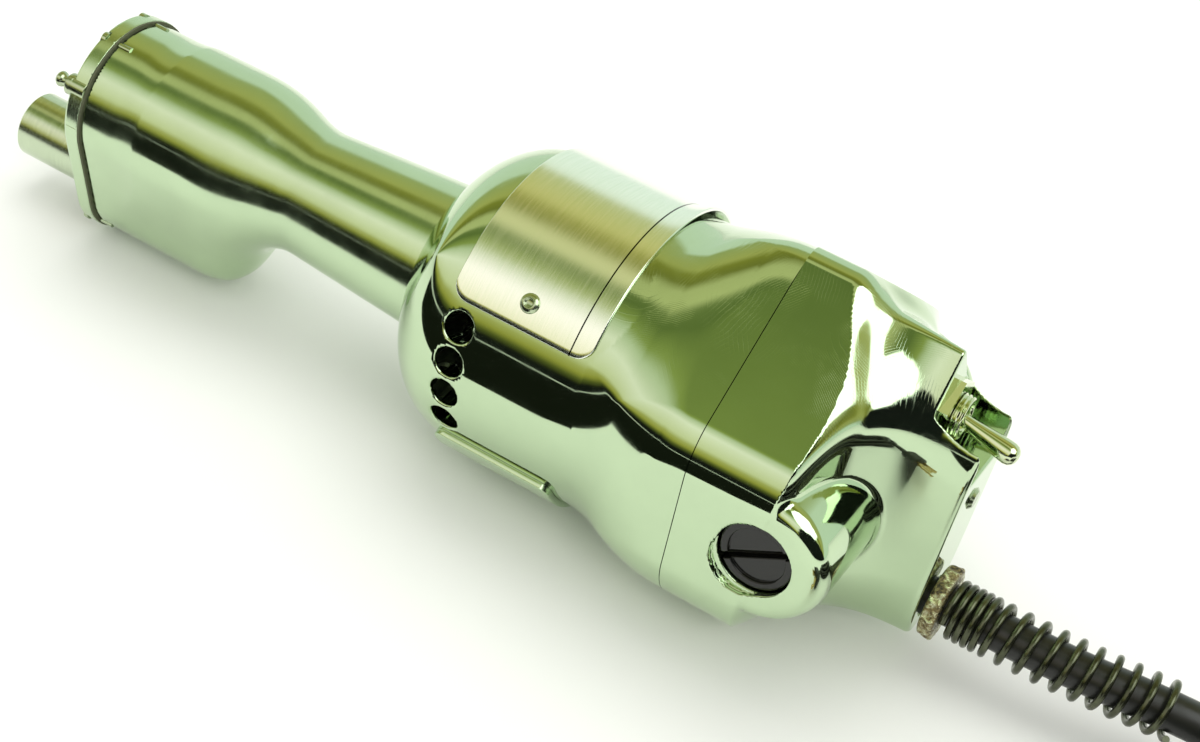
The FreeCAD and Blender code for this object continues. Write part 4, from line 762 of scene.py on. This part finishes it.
def switch_parts():
    """The threaded neck, and the lever, which throws with its own body."""
    pitch = 0.85
    thread = [(0, 0.5), (0, 4.75)]
    for k in range(8):
        thread += [(0.35 + pitch * k, 4.98), (0.78 + pitch * k, 4.55)]
    thread += [(7.2, 4.8), (7.6, 4.5), (7.6, 3.5), (7.0, 3.0), (4.6, 2.7), (4.6, 0.5)]
    neck = turned("threaded_neck", thread, (-33.3, 0, SWITCH[2]), (-1, 0, 0), switch_bright, 48, 0.1, 30)
    stand_in(neck, "switch_neck", slot="switch_metal")
    tilt = math.radians(12.5)
    bat = [(-1.4, 0.0), (-1.4, 1.1), (0.5, 1.35), (4, 1.5), (8, 1.95), (11, 2.35), (12.8, 2.5),
           (13.9, 2.42), (14.7, 2.02), (15.25, 1.35), (15.46, 0.6), (15.5, 0.0)]
    lever = turned("bat_lever", bat, SWITCH, (-math.cos(tilt), 0, -math.sin(tilt)), switch_bright,
                   40, 0.5, 70)
    stand_in(lever, "toggle_lever", body="toggle", slot="switch_metal")


def nipple():
    """The grease nipple on the head's near side."""
    body = [(0, 0.0), (0, 2.4), (3.9, 2.4), (4.2, 2.6), (5.4, 2.6), (5.7, 1.7), (6.3, 1.35), (7.0, 1.3),
            (7.5, 1.75), (8.3, 1.9), (9.0, 1.35), (9.2, 0.5), (8.9, 0.0)]
    piece = turned("nipple", body, (COVER_X[0], 15.8, AXIS + 8.6), (1, 0, 0), screw_metal, 36, 0.12, 50)
    stand_in(piece, "grease_nipple", slot="screw_steel")


fittings()
switch_parts()
nipple()


# The lead: one spline, from the ferrule to the plug

LEAD = [(-44, 0, CORD_Z), (-74, 0, CORD_Z), (-103, -6, 13.5), (-119.2, -10.5, 9.4), (-134, -17.7, 6.0)]
OUTER, MIDDLE, INNER = 57.3, 48.5, 39.7
BOTTOM, CENTRE, TOP = 4.5, 13.2, 21.9
TURNS = [(OUTER, BOTTOM), (MIDDLE, BOTTOM), (INNER, BOTTOM), (INNER, CENTRE), (INNER, TOP),
         (MIDDLE, TOP), (MIDDLE, CENTRE), (OUTER, CENTRE)]


PLUG_END = [(-152, 81.4, 13.6), (-140, 77.2, 14.4), (-131, 73.6, 15), (-122, 73, 15)]


def coil_points(start=-63.4, total=2732.6, step=25.0):
    """Round the coil clockwise, in degrees, each turn beside or on the last."""
    early, crossing = 30.0, 25.0
    outside = 1.012
    points = []
    count = round(total / step)
    for k in range(count + 1):
        gone = total * k / count
        radius, height = TURNS[0]
        for turn in range(len(TURNS) - 1):
            leave = 360 * (turn + 1) - crossing * turn - early
            share = float(ease((gone - leave) / crossing))
            radius += (TURNS[turn + 1][0] - TURNS[turn][0]) * share
            height += (TURNS[turn + 1][1] - TURNS[turn][1]) * share
        a = math.radians(start - gone)
        radius *= outside
        points.append((COIL[0] + radius * math.cos(a), COIL[1] + radius * math.sin(a), height))
    return points


def spline_object(name, points, bevel=0.0):
    """A smooth curve near its control points, round in section with a bevel."""
    data = bpy.data.curves.new(name, "CURVE")
    data.dimensions = "3D"
    line = data.splines.new("NURBS")
    line.points.add(len(points) - 1)
    for spot, (x, y, z) in zip(line.points, points):
        spot.co = (x * MM, y * MM, z * MM, 1)
    line.order_u = 3
    line.use_endpoint_u = True
    data.resolution_u = 10
    data.bevel_depth = bevel * MM
    data.bevel_resolution = 6
    data.use_fill_caps = True
    thing = bpy.data.objects.new(name, data)
    bpy.context.scene.collection.objects.link(thing)
    return thing


def lead():
    """The whole lead as one cord, from the tail through the coil to the plug."""
    cord = spline_object("lead", LEAD + coil_points() + PLUG_END, CORD)
    cord.data.materials.append(rubber)
    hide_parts("power_cord", "cord_coil")
    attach(cord, "frame")


def relief():
    """The strain relief: a spring of wire along the lead, close at first, then open."""
    guide = spline_object("guide", LEAD)
    mesh = bpy.data.meshes.new_from_object(guide)
    path = np.array([v.co[:] for v in mesh.vertices]) / MM
    bpy.data.objects.remove(guide)
    bpy.data.meshes.remove(mesh)
    gone = np.concatenate([[0], np.cumsum(np.linalg.norm(np.diff(path, axis=0), axis=1))])
    first, last = 7.8, 58.6
    wire, middle = 0.85, 5.88
    steps = 30
    angle, at, spots = 0.0, first, []
    while at < last:
        spot = np.array([np.interp(at, gone, path[:, i]) for i in range(3)])
        ahead = np.array([np.interp(at + 0.5, gone, path[:, i]) for i in range(3)])
        way = (ahead - spot) / np.linalg.norm(ahead - spot)
        side = np.cross(way, (0, 0, 1.0))
        side /= np.linalg.norm(side)
        up = np.cross(side, way)
        spots.append(spot + middle * (side * math.cos(angle) + up * math.sin(angle)))
        pitch = 1.85 + 2.3 * float(ease((at - first - 6.5) / 6))
        angle += 2 * math.pi / steps
        at += pitch / steps
    spring = pipe("relief_spring", spots, wire, 10, oiled)
    stand_in(spring, "strain_relief_spring", slot="spring_steel")


def ferrule_field(x, y, z):
    """The crimped ferrule: a ring pressed in with uneven dents."""
    z = z - CORD_Z
    radius = np.hypot(y, z)
    turn = np.arctan2(z, y)
    dents = 0.35 * np.sin(9 * turn + 0.6 * x) * np.sin(3 * turn + 1.1) + 0.15 * np.sin(23 * turn)
    ring = both(radius - 8.2 - dents * ease((-47.4 - x) / 1.2), np.abs(x + 49.0) - 1.7, 0.7)
    return less(ring, radius - 4.6, 0.3)


lead()
relief()
ferrule = surface_net("ferrule", ferrule_field, (-51.5, -9.5, 5.5), (-46.5, 9.5, 25.5),
                      0.25 * FINE, stained)
stand_in(ferrule, "cord_ferrule", slot="ferrule_steel")


# Floor and light

def floor():
    """White paper, in metres, out to well past the view."""
    far = 4
    mesh = bpy.data.meshes.new("floor")
    mesh.from_pydata([(-far, -far, 0), (far, -far, 0), (far, far, 0), (-far, far, 0)], [], [(0, 1, 2, 3)])
    thing = bpy.data.objects.new("floor", mesh)
    bpy.context.scene.collection.objects.link(thing)
    material, shader = new_material("floor_paper")
    shader.inputs["Base Color"].default_value = (0.90, 0.90, 0.88, 1)
    shader.inputs["Roughness"].default_value = 0.9
    shader.inputs["Specular IOR Level"].default_value = 0.2
    mesh.materials.append(material)


def card(name, corners, colour):
    """A card that only shows in the polished metal."""
    mesh = bpy.data.meshes.new(name)
    mesh.from_pydata(corners, [], [range(len(corners))])
    thing = bpy.data.objects.new(name, mesh)
    bpy.context.scene.collection.objects.link(thing)
    material = bpy.data.materials.new(name)
    material.use_nodes = True
    nodes = material.node_tree.nodes
    nodes.clear()
    glow = nodes.new("ShaderNodeEmission")
    glow.inputs[0].default_value = (*colour, 1)
    out = nodes.new("ShaderNodeOutputMaterial")
    material.node_tree.links.new(glow.outputs[0], out.inputs[0])
    mesh.materials.append(material)
    for ray in ("camera", "diffuse", "shadow", "transmission", "volume_scatter"):
        setattr(thing, "visible_" + ray, False)


def area(name, where, towards, size, power, colour):
    """A soft lamp that the metal doesn't mirror."""
    data = bpy.data.lights.new(name, "AREA")
    data.shape = "RECTANGLE"
    data.size, data.size_y = size
    data.energy = power
    data.color = colour
    lamp = bpy.data.objects.new(name, data)
    bpy.context.scene.collection.objects.link(lamp)
    lamp.location = where
    lamp.rotation_euler = (Vector(towards) - Vector(where)).to_track_quat("-Z", "Y").to_euler()
    lamp.visible_glossy = False


def room():
    """What the metal mirrors: bands along the saw, a bright window and a dark corner behind it."""
    world = bpy.data.worlds.new("room")
    bpy.context.scene.world = world
    world.use_nodes = True
    world.node_tree.nodes.clear()
    n = Nodes(world)
    coords = n.add("ShaderNodeTexCoord").outputs["Generated"]
    split = n.add("ShaderNodeSeparateXYZ")
    n.join(coords, split.inputs[0])
    _, y, z = split.outputs
    wobble = n.math("MULTIPLY_ADD", n.noise(coords, 2.2, 2.0, 0.5), 0.10, -0.05)
    angle = n.math("ARCTAN2", z, y)
    turn = n.math("MULTIPLY_ADD", n.math("ADD", angle, wobble), 1 / (2 * math.pi), 0.5)
    bands = [
        (-180, (0.78, 0.90, 0.80)), (-90, (0.9, 0.95, 0.85)), (-60, (0.010, 0.012, 0.010)),
        (4, (0.010, 0.012, 0.010)), (8, (0.13, 0.14, 0.03)), (12, (0.46, 0.42, 0.08)),
        (17, (0.60, 0.56, 0.20)), (22, (0.92, 0.88, 0.60)), (44, (1.20, 1.12, 1.05)),
        (56, (0.74, 0.78, 0.58)), (62, (0.36, 0.42, 0.12)), (72, (0.16, 0.21, 0.06)),
        (77, (0.20, 0.25, 0.08)), (81, (0.66, 0.66, 0.32)), (90, (0.62, 0.62, 0.30)),
        (97, (0.24, 0.24, 0.05)), (106, (0.30, 0.29, 0.05)), (113, (0.55, 0.52, 0.17)),
        (138, (0.46, 0.50, 0.22)), (145, (0.80, 0.90, 0.78)), (180, (0.78, 0.90, 0.80)),
    ]
    scene = n.ramp(turn, [(0.5 + at / 360, colour) for at, colour in bands])

    def patch(way, size, edge, rough):
        """A ragged round patch of the sky: size is its half angle in degrees."""
        way = Vector(way).normalized()
        spot = n.add("ShaderNodeVectorMath", operation="DOT_PRODUCT")
        n.join(coords, spot.inputs[0])
        spot.inputs[1].default_value = way
        ragged = n.math("MULTIPLY_ADD", n.noise(coords, 3.5, 2.0, 0.5), rough, spot.outputs["Value"])
        middle = math.cos(math.radians(size)) + rough * 0.5
        ramp = n.add("ShaderNodeMapRange", interpolation_type="SMOOTHSTEP")
        n.join(ragged, ramp.inputs[0])
        ramp.inputs[1].default_value = middle - edge
        ramp.inputs[2].default_value = middle + edge
        return ramp.outputs[0]
    scene = n.mix(patch((-0.64, 0.14, 0.75), 24, 0.012, 0.12), scene, (2.6, 2.7, 2.6))
    scene = n.mix(patch((-0.82, 0.56, 0.02), 37, 0.012, 0.16), scene, (0.010, 0.012, 0.011))
    is_mirrored = n.add("ShaderNodeLightPath").outputs["Is Glossy Ray"]
    scene = n.mix(is_mirrored, (0.96, 0.98, 0.94), scene)
    back = n.add("ShaderNodeBackground")
    n.join(scene, back.inputs[0])
    n.join(back.outputs[0], n.add("ShaderNodeOutputWorld").inputs[0])


floor()
room()
card("dark_edge", [(0.02, 0.16, 0.002), (0.06, 0.096, 0.002), (0.26, 0.084, 0.002), (1.5, 0.3, 0.002),
                   (1.5, 2.0, 0.002), (-0.3, 2.0, 0.002)], (0.010, 0.012, 0.008))
area("overhead", (0.2, -0.3, 1.3), (0.05, 0, 0), (1.2, 0.9), 6, (1.0, 1.0, 0.97))
area("fill", (-0.8, 0.8, 1.0), (0.05, 0, 0), (0.5, 0.5), 3, (1.0, 0.98, 0.92))
bpy.context.scene.view_settings.view_transform = "Standard"
bpy.context.scene.view_settings.look = "None"
bpy.context.scene.view_settings.exposure = 0.0
